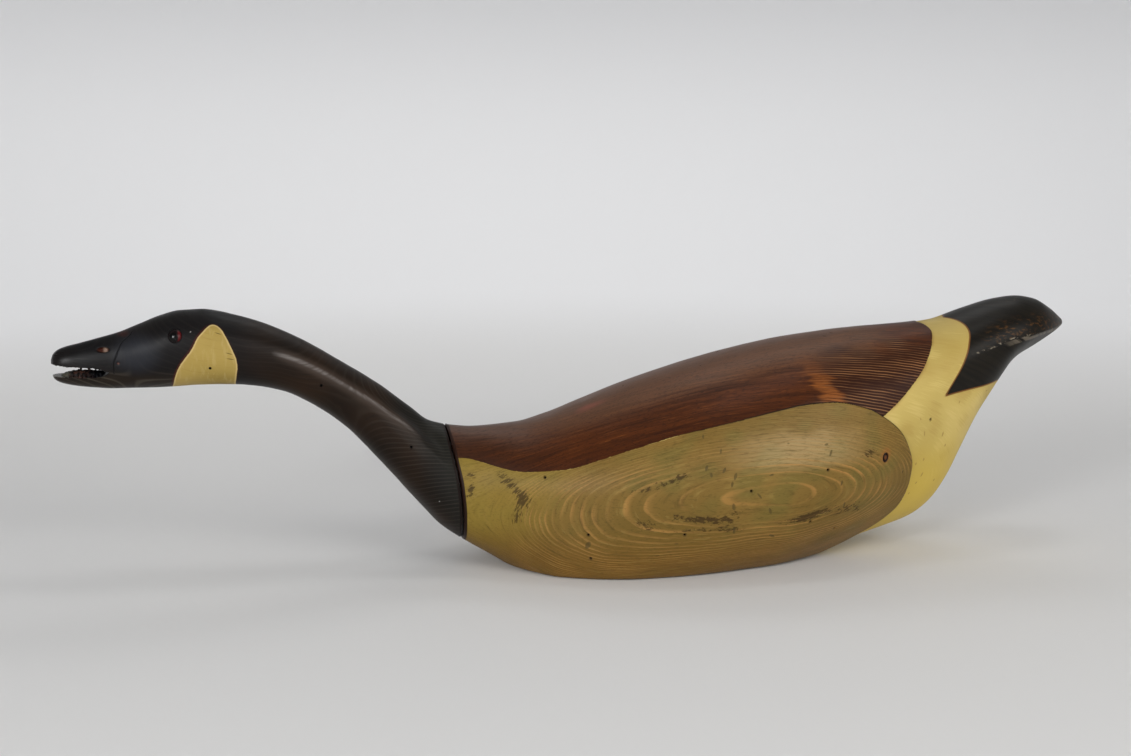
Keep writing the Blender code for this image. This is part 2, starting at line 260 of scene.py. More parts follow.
def ripples(points, wavelength, seed, waves=9):
    """A smooth random height, mostly within -1 to 1, with bumps about one wavelength apart."""
    random = np.random.default_rng(seed)
    directions = random.normal(size=(waves, 3))
    directions /= np.linalg.norm(directions, axis=1)[:, None]
    phases = random.uniform(0, 2 * math.pi, waves)
    turns = points @ directions.T * (2 * math.pi / wavelength) + phases
    return np.sin(turns).sum(axis=1) / math.sqrt(waves)


# The lofted surfaces

def section_points(top, bottom, half_width, widest, above, below, turn):
    """Points on sections between (x, z) tops and bottoms, each at its own turn from the top."""
    angle = turn * 2 * math.pi
    side, lift = np.sin(angle), np.cos(angle)
    power = 2 / np.where(lift > 0, above, below)
    reach = np.sign(side) * np.abs(side) ** power * half_width
    share = widest + np.abs(lift) ** power * np.where(lift > 0, 1 - widest, -widest)
    x = bottom[0] + (top[0] - bottom[0]) * share
    z = bottom[1] + (top[1] - bottom[1]) * share
    return np.stack([x, -reach, z], axis=1)


BODY_CURVES = [
    smooth_curve(line)
    for line in (BACK_LINE, BELLY_LINE, WIDEST_LINE, BODY_HALF_WIDTH, FULLNESS_ABOVE, FULLNESS_BELOW)
]


def body_surface(along, turn):
    back, belly, widest, half_width, above, below = BODY_CURVES
    x = SEAM_X + (TAIL_X - SEAM_X) * along
    lean = np.maximum(0.0, 1 - (x - SEAM_X) / LEAN_FADE) ** 2
    top_x = x + lean * (SEAM_TOP[0] - SEAM_X)
    bottom_x = x + lean * (SEAM_BOTTOM[0] - SEAM_X)
    top, bottom = (top_x, back(top_x)), (bottom_x, belly(bottom_x))
    height_share = (widest(x) - bottom[1]) / (top[1] - bottom[1])
    return section_points(top, bottom, half_width(x), height_share, above(x), below(x), turn)


def neck_surface_maker():
    crown, throat = smooth_curve(CROWN_LINE), smooth_curve(THROAT_LINE)
    columns = np.array(NECK_SECTIONS, float).T
    spans = (np.diff(columns[0]) + np.diff(columns[1])) / 2
    shares = np.concatenate([[0], np.cumsum(spans)]) / spans.sum()
    curves = [smooth_curve(list(zip(shares, column))) for column in columns]

    def neck_surface(along, turn):
        top_x, bottom_x, half_width, widest, above = (curve(along) for curve in curves)
        top, bottom = (top_x, crown(top_x)), (bottom_x, throat(bottom_x))
        return section_points(top, bottom, half_width, widest, above, THROAT_FULLNESS, turn)

    return neck_surface


neck_surface = neck_surface_maker()


# A net of triangles over a surface, split until its edges are short enough

SHORTEST_EDGE = 0.5


def split_edges(net, triangles, surface, wanted):
    """One round of splitting: every edge longer than is wanted at its middle gets a point there."""
    points = surface(net[:, 0], net[:, 1])
    starts, ends = triangles.ravel(), np.roll(triangles, -1, axis=1).ravel()
    keys = np.minimum(starts, ends) * len(net) + np.maximum(starts, ends)
    keys, edge_of = np.unique(keys, return_inverse=True)
    edges = np.stack([keys // len(net), keys % len(net)], axis=1)
    edge_of = edge_of.reshape(-1, 3)
    lengths = np.linalg.norm(points[edges[:, 0]] - points[edges[:, 1]], axis=1)
    step = net[edges[:, 1]] - net[edges[:, 0]]
    step[:, 1] -= np.round(step[:, 1])
    middles = net[edges[:, 0]] + step / 2
    middles[:, 1] %= 1.0
    marked = lengths > SHORTEST_EDGE
    marked[marked] = lengths[marked] > wanted(surface(*middles[marked].T))
    longest = np.argmax(lengths[edge_of], axis=1)
    longest_edge = edge_of[np.arange(len(triangles)), longest]
    while True:
        missed = marked[edge_of].any(axis=1) & ~marked[longest_edge]
        if not missed.any():
            break
        marked[longest_edge[missed]] = True
    new_point = np.full(len(edges), -1)
    new_point[marked] = len(net) + np.arange(marked.sum())
    turned = (longest[:, None] + np.arange(3)) % 3
    a, b, c = np.take_along_axis(triangles, turned, axis=1).T
    ab, bc, ca = new_point[np.take_along_axis(edge_of, turned, axis=1)].T
    whole = ab < 0
    one = ~whole & (bc < 0) & (ca < 0)
    right = ~whole & (bc >= 0) & (ca < 0)
    left = ~whole & (bc < 0) & (ca >= 0)
    every = ~whole & (bc >= 0) & (ca >= 0)
    pieces = [
        (whole, [(a, b, c)]),
        (one, [(a, ab, c), (ab, b, c)]),
        (right, [(a, ab, c), (ab, b, bc), (ab, bc, c)]),
        (left, [(a, ab, ca), (ab, c, ca), (ab, b, c)]),
        (every, [(a, ab, ca), (ab, b, bc), (ca, bc, c), (ab, bc, ca)]),
    ]
    triangles = np.concatenate(
        [np.stack(corner, axis=1)[which] for which, made in pieces for corner in made]
    )
    return np.concatenate([net, middles[marked]]), triangles, bool(marked.any())


def fine_net(surface, wanted, stations, round_points, rounds=12):
    """A closed net over a tube-like surface: its points in millimetres, and its triangles."""
    along = np.repeat(np.linspace(0, 1, stations), round_points)
    turn = np.tile(np.arange(round_points) / round_points, stations)
    net = np.stack([along, turn], axis=1)
    i, j = np.meshgrid(np.arange(stations - 1), np.arange(round_points), indexing="ij")
    here = (i * round_points + j).ravel()
    beside = (i * round_points + (j + 1) % round_points).ravel()
    triangles = np.concatenate([
        np.stack([here, beside, beside + round_points], axis=1),
        np.stack([here, beside + round_points, here + round_points], axis=1),
    ])
    for _ in range(rounds):
        net, triangles, changed = split_edges(net, triangles, surface, wanted)
        if not changed:
            break
    points = surface(net[:, 0], net[:, 1])
    for end, facing in ((0.0, 1), (1.0, -1)):
        rim = np.flatnonzero(net[:, 0] == end)
        rim = rim[np.argsort(net[rim, 1])][::facing]
        middle = np.full(len(rim), len(points))
        points = np.concatenate([points, points[rim].mean(axis=0)[None]])
        triangles = np.concatenate([triangles, np.stack([np.roll(rim, -1), rim, middle], axis=1)])
    return points, triangles


def outward_normals(points, triangles):
    """The unit normal at each point, from the triangles round it."""
    a, b, c = (points[triangles[:, i]] for i in range(3))
    facing = np.cross(b - a, c - a)
    normals = np.zeros_like(points)
    for i in range(3):
        np.add.at(normals, triangles[:, i], facing)
    return normals / np.maximum(np.linalg.norm(normals, axis=1), 1e-12)[:, None]


# Places and lines on a surface

MARK_REACH = 12.0

def surface_tree(node):
    """The solid of a CAD node, in millimetres, for finding places on it."""
    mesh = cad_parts[node].data
    corners = [vertex.co / MM for vertex in mesh.vertices]
    return BVHTree.FromPolygons(corners, [tuple(polygon.vertices) for polygon in mesh.polygons])


def place_on_side(tree, x, z, side=-1):
    """The point and outward normal met at (x, z) from one side: -1 is the left side."""
    point, normal, _, _ = tree.ray_cast(Vector((x, side * 400, z)), Vector((0, -side, 0)))
    return np.array(point), np.array(normal) * (1 if normal[1] * side > 0 else -1)


def place_on_top(tree, x, y):
    point, normal, _, _ = tree.ray_cast(Vector((x, y, 600)), Vector((0, 0, -1)))
    return np.array(point), np.array(normal) * (1 if normal[2] > 0 else -1)


class SurfaceLine:
    """A smooth line laid on a solid's left side, through points near it."""

    SAMPLES_PER_SPAN = 6
    REACH = 7.0

    def __init__(self, tree, points):
        knots = np.array(points, float)
        padded = np.concatenate([[2 * knots[0] - knots[1]], knots, [2 * knots[-1] - knots[-2]]])
        samples = []
        for before, start, end, after in zip(padded, padded[1:], padded[2:], padded[3:]):
            for t in np.arange(self.SAMPLES_PER_SPAN) / self.SAMPLES_PER_SPAN:
                bend = (before * (-t + 2 * t**2 - t**3) + start * (2 - 5 * t**2 + 3 * t**3)
                        + end * (t + 4 * t**2 - 3 * t**3) + after * (-(t**2) + t**3))
                samples.append(bend / 2)
        samples.append(knots[-1])
        laid, normals = [], []
        for sample in samples:
            place, normal, _, gap = tree.find_nearest(Vector(sample))
            laid.append(place if gap < self.REACH else sample)
            normals.append(normal)
        self.points = np.array(laid)
        self.normals = np.array(normals)
        self.steps = np.diff(self.points, axis=0)
        self.lengths = np.concatenate([[0], np.cumsum(np.linalg.norm(self.steps, axis=1))])

    def measure(self, points):
        """Each point's distance from the line, more than 0 to its left, and the length along to there."""
        distance, along = np.empty(len(points)), np.empty(len(points))
        for start in range(0, len(points), 20000):
            part = slice(start, start + 20000)
            distance[part], along[part] = self._measure(points[part])
        return distance, along

    def _measure(self, points):
        line = self.points.astype(np.float32)
        nearest = ((line**2).sum(axis=1) / 2 - points.astype(np.float32) @ line.T).argmin(axis=1)
        best = np.full(len(points), np.inf)
        side, along = np.ones(len(points)), np.zeros(len(points))
        for segment in (np.maximum(nearest - 1, 0), np.minimum(nearest, len(self.steps) - 1)):
            step = self.steps[segment]
            offset = points - self.points[segment]
            t = np.clip((offset * step).sum(axis=1) / (step**2).sum(axis=1), 0, 1)
            gap = offset - step * t[:, None]
            distance = np.linalg.norm(gap, axis=1)
            closer = distance < best
            left = (np.cross(self.normals[segment], step) * gap).sum(axis=1)
            best = np.where(closer, distance, best)
            side = np.where(closer, np.where(left < 0, -1, 1), side)
            along = np.where(closer, self.lengths[segment] + t * np.linalg.norm(step, axis=1), along)
        return best * side, along


def laid_left(points):
    """The points with the right side laid over the left, where the lines are."""
    return points * (1, 0, 1) - np.abs(points) * (0, 1, 0)


class Spot:
    """A flat patch touching the surface at one place, in which marks are drawn."""

    FAR_OUT = 1e3
    THICKNESS = 25.0

    def __init__(self, place, tilt=0.0):
        self.middle, self.normal = place
        across = np.cross((0.0, 0.0, 1.0), self.normal)
        across *= -1 if across[0] < 0 else 1
        across /= np.linalg.norm(across)
        up = np.cross(self.normal, across)
        up *= -1 if up[2] < 0 else 1
        turn = math.radians(tilt)
        self.across = across * math.cos(turn) + up * math.sin(turn)
        self.up = up * math.cos(turn) - across * math.sin(turn)

    def oval(self, points, half_length, half_height, reach=60.0):
        """How far out each point is, where 1 is the oval's edge, and FAR_OUT beyond the patch's reach."""
        out = np.full(len(points), self.FAR_OUT)
        near = np.flatnonzero(np.abs(points[:, 0] - self.middle[0]) < reach)
        gap = points[near] - self.middle
        close = np.abs(gap @ self.normal) < self.THICKNESS
        near, gap = near[close], gap[close]
        out[near] = np.hypot(gap @ self.across / half_length, gap @ self.up / half_height)
        return out


def soft_pit(spot, points, half_length, half_width, depth):
    """The cut of a rounded dent, as a height below 0."""
    out = np.minimum(spot.oval(points, half_length, half_width), 1)
    return -depth * (1 - out**2) ** 2


def nail_pit(spot, points):
    return -NAIL_DEPTH * (1 - smooth_step(spot.oval(points, 1, 1), NAIL_RADIUS - 0.25, NAIL_RADIUS + 0.2))


# Meshes

def mesh_object(name, points, polygons, attributes=()):
    """A finished piece from points in millimetres, with its attributes and smooth shading."""
    mesh = bpy.data.meshes.new(name)
    mesh.from_pydata((points * MM).tolist(), [], polygons.tolist())
    obj = bpy.data.objects.new(name, mesh)
    bpy.context.scene.collection.objects.link(obj)
    mesh.shade_smooth()
    store(mesh, attributes)
    return obj


def store(mesh, attributes):
    for name, values in dict(attributes).items():
        mesh.attributes.new(name, "FLOAT", "POINT").data.foreach_set("value", values.astype(np.float32))


def mesh_points(mesh):
    points = np.empty(len(mesh.vertices) * 3, np.float32)
    mesh.vertices.foreach_get("co", points)
    return points.reshape(-1, 3).astype(float) / MM


# The tree that each carving was cut from

# The pith of the body: the x it is given at, its (y, z) there, its slope, and its bend per metre
BODY_PITH = (142.0, (-189.7, 76.8), (0.0662, -0.0627), (0.636, -0.965))
# From the pith outwards: the first ring's radius and step, how fast they close up, and where they are even
FIRST_RING, RING_STEP, RING_CLOSING = 69.34, 3.785, 0.0895
EVEN_RINGS_FROM = 101.2
EVEN_STEP = 1.71
LINE_PLACE = 0.88
NECK_PITH = (-140.0, (0.0, 152.0), (0.0, -0.05), (0.0, 0.5))


def pith_distance(points, at_x, middle, slope, bend):
    """How far each point is from the pith line of its tree."""
    along = points[:, 0] - at_x
    curve = along**2 / 1000
    across = points[:, 1] - (middle[0] + slope[0] * along + bend[0] * curve)
    up = points[:, 2] - (middle[1] + slope[1] * along + bend[1] * curve)
    return np.hypot(across, up)


def body_rings(radius):
    """The ring that each radius is in: they close up outwards, as wood grown in a crowd does."""
    closing = np.minimum(radius, EVEN_RINGS_FROM) - FIRST_RING
    rings = (RING_STEP - np.sqrt(RING_STEP**2 - 4 * RING_CLOSING * closing)) / (2 * RING_CLOSING)
    return rings + LINE_PLACE + np.maximum(radius - EVEN_RINGS_FROM, 0) / EVEN_STEP


# The body

class BodyPlan:
    """Every line and mark on the body, found once on its solid."""

    FINE, PLAIN, FAR = 1.0, 3.8, 5.2

    def __init__(self):
        tree = surface_tree("body")
        self.flank = SurfaceLine(tree, FLANK_EDGE)
        self.saddle = SurfaceLine(tree, SADDLE_EDGE)
        self.tail = SurfaceLine(tree, TAIL_EDGE)
        self.under = SurfaceLine(tree, TAIL_UNDER_EDGE)
        self.crease = SurfaceLine(tree, TAIL_CREASE)
        self.nails = [Spot(place_on_side(tree, x, z)) for x, z in BODY_NAILS]
        self.nails.append(Spot(place_on_top(tree, *BACK_NAIL)))
        self.knot = Spot(place_on_side(tree, *KNOT))
        places = [(place_on_side(tree, *dent[:2]), dent) for dent in FLANK_DENTS + RUMP_DENTS]
        places += [(place_on_side(tree, *dent[:2], side=1), dent) for dent in RIGHT_DENTS]
        places += [(place_on_top(tree, *dent[:2]), dent) for dent in BACK_DENTS]
        self.dents = [
            (Spot(place, tilt), half_length, half_width, depth)
            for place, (_, _, half_length, half_width, tilt, depth) in places
        ]
        self.scuffs = [
            (Spot(place_on_side(tree, x, z), tilt), half_length, half_height, strength)
            for x, z, half_length, half_height, tilt, strength in FLANK_SCUFFS
        ]

    def regions(self, points):
        """Distances, in millimetres, into the flank, the saddle and the tail."""
        left = laid_left(points)
        flank, along_flank = self.flank.measure(left)
        flank = -flank
        saddle = np.minimum(-flank, -self.saddle.measure(left)[0])
        tail = np.minimum(self.tail.measure(left)[0], self.under.measure(left)[0])
        return flank, along_flank, saddle, tail

    def wanted(self, points):
        """How long an edge of the net may be at each point."""
        edge = np.where(points[:, 1] > 30, self.FAR, self.PLAIN)
        flank, along, saddle, tail = self.regions(points)
        rear = np.where(along > 330, np.abs(flank), np.abs(flank) + 12)
        near_line = np.minimum(rear, np.abs(saddle) + np.where(points[:, 0] < 250, 30, 0))
        edge = np.minimum(edge, self.FINE + 0.5 * near_line)
        behind_seam = points[:, 0] - straight_seam(points[:, 2])
        edge = np.minimum(edge, 1.1 + 0.45 * np.maximum(behind_seam - 5, 0))
        for nail in self.nails:
            edge = np.minimum(edge, 0.55 + 0.5 * np.maximum(nail.oval(points, 1, 1) - 2, 0))
        edge = np.minimum(edge, 0.6 + 0.4 * np.maximum(self.knot.oval(points, 1, 1) - 6, 0))
        for spot, half_length, half_width, _ in self.dents:
            out = (spot.oval(points, half_length, half_width, 20) - 1.2) * half_width
            edge = np.minimum(edge, 0.7 + 0.6 * np.maximum(out, 0))
        return edge

    def relief(self, points):
        """The height carved on or off the lofted surface."""
        flank, along, saddle, tail = self.regions(points)
        step = 0.5 * smooth_step(along, *SCRIBED_GROWS) + 2.3 * smooth_step(along, *STEP_GROWS)
        height = step * (smooth_step(flank, -0.55, 0.75) - 0.52) * np.exp(-np.abs(flank) / 22)
        height -= 0.35 * smooth_step(along, *SCRIBED_GROWS) * np.exp(-((flank + 0.5) / 0.45) ** 2)
        height += 0.9 * (smooth_step(saddle, -0.5, 0.5) - 0.5) * np.exp(-np.abs(saddle) / 9) * (
            smooth_step(points[:, 0], 262, 280)
        )
        behind = points[:, 0] - straight_seam(points[:, 2])
        height -= np.clip(SEAM_CHAMFER - behind, 0, SEAM_CHAMFER)
        height += 0.28 * ripples(points, 95, seed=3) + 0.07 * ripples(points, 26, seed=4)
        for nail in self.nails:
            height += nail_pit(nail, points)
        knot = self.knot.oval(points, *KNOT_HALF_SIZE)
        height -= 1.3 * smooth_step(knot, 0.35, 0.7) * (1 - smooth_step(knot, 0.8, 1.15))
        for spot, half_length, half_width, depth in self.dents:
            height += soft_pit(spot, points, half_length, half_width, depth)
        return height

    def marks(self, points):
        """What the paint and the stain need to know at each point."""
        flank, along, saddle, tail = self.regions(points)
        nails = np.min([nail.oval(points, 1, 1) for nail in self.nails], axis=0)
        dents = np.zeros(len(points))
        for spot, half_length, half_width, depth in self.dents:
            out = np.minimum(spot.oval(points, half_length * 1.25, half_width * 1.4), 1)
            dents = np.maximum(dents, (1 - out**2) * depth * 2)
        scuffs = np.zeros(len(points))
        for spot, half_length, half_height, strength in self.scuffs:
            out = spot.oval(points, half_length, half_height)
            scuffs += strength * np.exp(-(out**2))
        radius = pith_distance(points, *BODY_PITH)
        wander = 0.1 + smooth_step(radius, 72, 82)
        radius += wander * (0.3 * ripples(points, 60, seed=31) + 0.1 * ripples(points, 14, seed=32))
        return {
            "radius": radius,
            "rings": body_rings(radius),
            "clear": np.clip(0.55 + 0.4 * ripples(points * (0.4, 1, 1), 24, seed=33), 0.15, 1),
            "cloud": 0.17 * ripples(points, 95, seed=34),
            "patch": 0.17 * ripples(points * (0.8, 1, 1), 27, seed=35),
            "flank": np.clip(flank, -80, 80),
            "flank_along": along,
            "saddle": np.clip(saddle, -80, 80),
            "tail": np.clip(tail, -80, 80),
            "crease": np.clip(self.crease.measure(laid_left(points))[0], -60, 60),
            "nail": np.minimum(nails, MARK_REACH),
            "knot": np.minimum(self.knot.oval(points, *KNOT_HALF_SIZE), MARK_REACH),
            "dent": dents,
            "scuff": np.minimum(scuffs, 1.5),
            "seam": np.clip(points[:, 0] - straight_seam(points[:, 2]), 0, 60),
        }


def straight_seam(z):
    """The x of the cut between the two carvings at a height."""
    share = (z - SEAM_BOTTOM[1]) / (SEAM_TOP[1] - SEAM_BOTTOM[1])
    return SEAM_BOTTOM[0] + (SEAM_TOP[0] - SEAM_BOTTOM[0]) * share


def seam_drawn(z):
    """How far the seam's top and bottom are drawn towards the head, so that it curves."""
    share = (z - SEAM_BOTTOM[1]) / (SEAM_TOP[1] - SEAM_BOTTOM[1])
    return SEAM_BOW * (1 - np.sin(math.pi * np.clip(share, 0, 1)))


def bowed(points):
    """The points near the seam, moved so that it curves."""
    away = np.abs(points[:, 0] - SEAM_X)
    drawn = seam_drawn(points[:, 2]) * (1 - smooth_step(away, 8, 45))
    return points - np.stack([drawn, 0 * drawn, 0 * drawn], axis=1)


def settle_base(points, easing=4.0):
    """Plane the underside flat at z = 0, with an eased edge all round."""
    z = points[:, 2]
    eased = np.where(z < -easing, 0, np.where(z < easing, (z + easing) ** 2 / (4 * easing), z))
    return np.stack([points[:, 0], points[:, 1], eased], axis=1)


def make_body():
    plan = BodyPlan()
    points, triangles = fine_net(body_surface, plan.wanted, 60, 40)
    normals = outward_normals(points, triangles)
    shaped = settle_base(bowed(points + normals * plan.relief(points)[:, None]))
    return mesh_object("carved_body", shaped, triangles, plan.marks(points))


# The head and neck

class NeckPlan:
    """Every line and mark on the head and neck, found once on its solid."""

    def __init__(self):
        tree = surface_tree("head_and_neck")
        self.cheek = SurfaceLine(tree, CHEEK_EDGE)
        self.face = SurfaceLine(tree, FACE_LINE)
        self.ridge = SurfaceLine(tree, NECK_RIDGE)
        self.nails = [Spot(place_on_side(tree, x, z)) for x, z in NECK_NAILS]
        self.nostrils = [
            Spot((np.array([-436.6, side * 18.0, 216.0]), np.array([-0.15, side * 0.93, 0.33])))
            for side in (-1, 1)
        ]
        self.scratches = [
            (Spot(place_on_side(tree, x, z), tilt), half_length, half_width)
            for x, z, half_length, half_width, tilt in CHEEK_SCRATCHES
        ]
        self.specks = [Spot(place_on_side(tree, x, z)) for x, z in NECK_SPECKS]
        self.nick = Spot(place_on_side(tree, *FACE_NICK))
        self.eyes = [eye_place(name) for name in ("left_eye", "right_eye")]

    def wanted(self, points):
        left = laid_left(points)
        edge = np.full(len(points), 2.4)
        face = np.abs(self.face.measure(left)[0])
        edge = np.minimum(edge, 0.55 + 0.5 * np.maximum(face - 0.8, 0))
        bill = np.maximum(points[:, 0] - GAPE_END - 4, 0)
        edge = np.minimum(edge, 1.0 + 0.15 * bill)
        cheek = np.abs(self.cheek.measure(left)[0])
        edge = np.minimum(edge, 0.9 + 0.4 * cheek)
        edge = np.minimum(edge, 1.0 + 0.25 * np.maximum(-119 - points[:, 0], 0))
        for nail in self.nails:
            edge = np.minimum(edge, 0.5 + 0.5 * np.maximum(nail.oval(points, 1, 1) - 2, 0))
        for spot in self.nostrils:
            edge = np.minimum(edge, 0.5 + 0.4 * np.maximum(spot.oval(points, 1, 0.5) - 8, 0))
        for spot, half_length, _ in self.scratches:
            edge = np.minimum(edge, 0.5 + 0.5 * np.maximum(spot.oval(points, 1, 1) - half_length, 0))
        for middle, _ in self.eyes:
            edge = np.minimum(edge, 0.7 + 0.35 * np.maximum(np.linalg.norm(points - middle, axis=1) - 9, 0))
        return edge

    def relief(self, points):
        left = laid_left(points)
        ridge, along = self.ridge.measure(left)
        before_seam = 1 - smooth_step(points[:, 0], -142, -120)
        height = 0.9 * np.exp(-((ridge + 1) / 5) ** 2) * smooth_step(along, 25, 80) * before_seam
        height -= 2.9 * np.exp(-((ridge - 12) / 8) ** 2) * smooth_step(along, 90, 150) * before_seam
        face = self.face.measure(left)[0]
        height -= 0.45 * np.exp(-(face / 0.5) ** 2)
        height += 0.16 * ripples(points, 60, seed=7) + 0.05 * ripples(points, 18, seed=8)
        for nail in self.nails:
            height += nail_pit(nail, points)
        for spot in self.nostrils:
            out = spot.oval(points, *NOSTRIL_HALF_SIZE)
            height -= 2.6 * (1 - smooth_step(out, 0.5, 1.1))
        for spot, half_length, half_width in self.scratches:
            height += soft_pit(spot, points, half_length, half_width * 1.4, 0.25)
        return height + soft_pit(self.nick, points, 2.4, 2.0, 0.8)

    def marks(self, points):
        left = laid_left(points)
        nostril = np.min([spot.oval(points, *NOSTRIL_HALF_SIZE) for spot in self.nostrils], axis=0)
        scratch = np.min(
            [spot.oval(points, length, width) for spot, length, width in self.scratches], axis=0
        )
        speck = np.min([spot.oval(points, 1, 1) for spot in self.specks], axis=0)
        nails = np.min([nail.oval(points, 1, 1) for nail in self.nails], axis=0)
        low, high = gape_floor(points), gape_roof(points)
        x, z = points[:, 0], points[:, 2]
        inside = (x < GAPE_END + 0.5) & (z > low - 0.15) & (z < high + 0.15)
        return {
            "radius": pith_distance(points, *NECK_PITH) + 0.5 * ripples(points, 40, seed=41),
            "cloud": 0.17 * ripples(points, 55, seed=42),
            "ridge": np.clip(np.abs(self.ridge.measure(left)[0] + 1), 0, 30),
            "cheek": np.clip(self.cheek.measure(left)[0], -60, 60),
            "face": np.clip(np.abs(self.face.measure(left)[0]), 0, 30),
            "scratch": np.minimum(scratch, MARK_REACH),
            "speck": np.minimum(speck, MARK_REACH),
            "nick": np.minimum(self.nick.oval(points, 2.0, 1.8), MARK_REACH),
            "nostril": np.minimum(nostril, MARK_REACH),
            "nail": np.minimum(nails, MARK_REACH),
            "mouth": inside.astype(float),
            "seam": np.clip(straight_seam(z) - seam_drawn(z) - x, 0, 60),
        }


def gape_floor(points):
    """The height of the lower bill's cut face, with the tongue and the torn wood along its edges."""
    x, y = points[:, 0], points[:, 1]
    height = smooth_curve(GAPE_BOTTOM)(x)
    along_tongue = (x - TONGUE_MIDDLE[0]) / TONGUE_HALF_SIZE[0]
    across_tongue = (y - TONGUE_MIDDLE[1]) / TONGUE_HALF_SIZE[1]
    height += TONGUE_HEIGHT * np.sqrt(np.clip(1 - along_tongue**2 - across_tongue**2, 0, 1))
    rough = ripples(np.stack([x, y, 0 * x], axis=1), 3.4, seed=21)
    open_here = smooth_step(GAPE_END - x, 2, 12)
    return height + 0.55 * rough * open_here * smooth_step(x, -478, -468)


def gape_roof(points):
    x, y = points[:, 0], points[:, 1]
    height = smooth_curve(GAPE_TOP)(x)
    rough = ripples(np.stack([x, y, 0 * x], axis=1), 3.0, seed=22)
    return height + 0.3 * rough * smooth_step(GAPE_END - x, 2, 12)


def gape_cutter():
    """The waste between the two bills, as one closed block with a rough floor and roof."""
    xs = np.linspace(GAPE_START, GAPE_END, 96)
    ys = np.linspace(-GAPE_HALF_WIDTH, GAPE_HALF_WIDTH, 92)
    x, y = (grid.ravel() for grid in np.meshgrid(xs, ys, indexing="ij"))
    flat = np.stack([x, y, 0 * x], axis=1)
    low, high = gape_floor(flat), gape_roof(flat)
    high = np.maximum(high, low + 0.02)
    points = np.concatenate([np.stack([x, y, low], axis=1), np.stack([x, y, high], axis=1)])
    count, across = len(x), len(ys)
    index = np.arange(count).reshape(len(xs), across)
    squares = [index[:-1, :-1], index[:-1, 1:], index[1:, 1:], index[1:, :-1]]
    floor = np.stack(squares, axis=2).reshape(-1, 4)
    roof = floor[:, ::-1] + count
    rim = np.concatenate([index[:-1, 0], index[-1, :-1], index[:0:-1, -1], index[0, :0:-1]])
    after = np.roll(rim, -1)
    walls = np.stack([rim, after, after + count, rim + count], axis=1)
    return mesh_object("gape", points, np.concatenate([floor, roof, walls]))


def ball(name, middle, radii, facing):
    """An ellipsoid whose second radius lies along facing; middle and radii in millimetres."""
    bm = bmesh.new()
    bmesh.ops.create_uvsphere(bm, u_segments=48, v_segments=24, radius=1)
    along, across, up = (r * MM for r in radii)
    pole_out = Matrix.Rotation(math.radians(90), 4, "X")
    scale = Matrix.Diagonal((along, across, up, 1))
    turn = Vector((0, 1, 0)).rotation_difference(Vector(facing)).to_matrix().to_4x4()
    bmesh.ops.transform(
        bm, matrix=Matrix.Translation(Vector(middle) * MM) @ turn @ scale @ pole_out, verts=bm.verts
    )
    mesh = bpy.data.meshes.new(name)
    bm.to_mesh(mesh)
    bm.free()
    obj = bpy.data.objects.new(name, mesh)
    bpy.context.scene.collection.objects.link(obj)
    return obj


EYE_RADII = (6.6, 4.4, 6.6)
EYE_DEPTH = EYE_RADII[1]
EYE_RIM_BACK, EYE_BACK = -1.6, -2.4
PUPIL_FORWARD = 1.4


def eye_place(node):
    """The middle of an eye's solid, in millimetres, and the way that it looks."""
    points = mesh_points(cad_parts[node].data)
    low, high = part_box(node)
    middle = np.array((low + high) / 2) / MM
    _, _, axes = np.linalg.svd(np.unique(np.round(points, 3), axis=0) - middle, full_matrices=False)
    facing = axes[2] * (1 if axes[2][1] * middle[1] > 0 else -1)
    return middle, facing


def made_plain(obj):
    """Turn what the object's modifiers make into its own mesh, and take the modifiers off."""
    bpy.context.view_layer.update()
    evaluated = obj.evaluated_get(bpy.context.evaluated_depsgraph_get())
    mesh = bpy.data.meshes.new_from_object(evaluated)
    obj.modifiers.clear()
    obj.data = mesh


def carved(obj, tools, operation):
    """Cut the tools out of the piece, or join them to it, and leave a plain mesh of triangles."""
    for tool in tools:
        modifier = obj.modifiers.new(tool.name, "BOOLEAN")
        modifier.object = tool
        modifier.operation = operation
        modifier.solver = "EXACT"
    made_plain(obj)
    for tool in tools:
        bpy.data.objects.remove(tool)
    bm = bmesh.new()
    bm.from_mesh(obj.data)
    bmesh.ops.triangulate(bm, faces=bm.faces[:])
    bm.to_mesh(obj.data)
    bm.free()


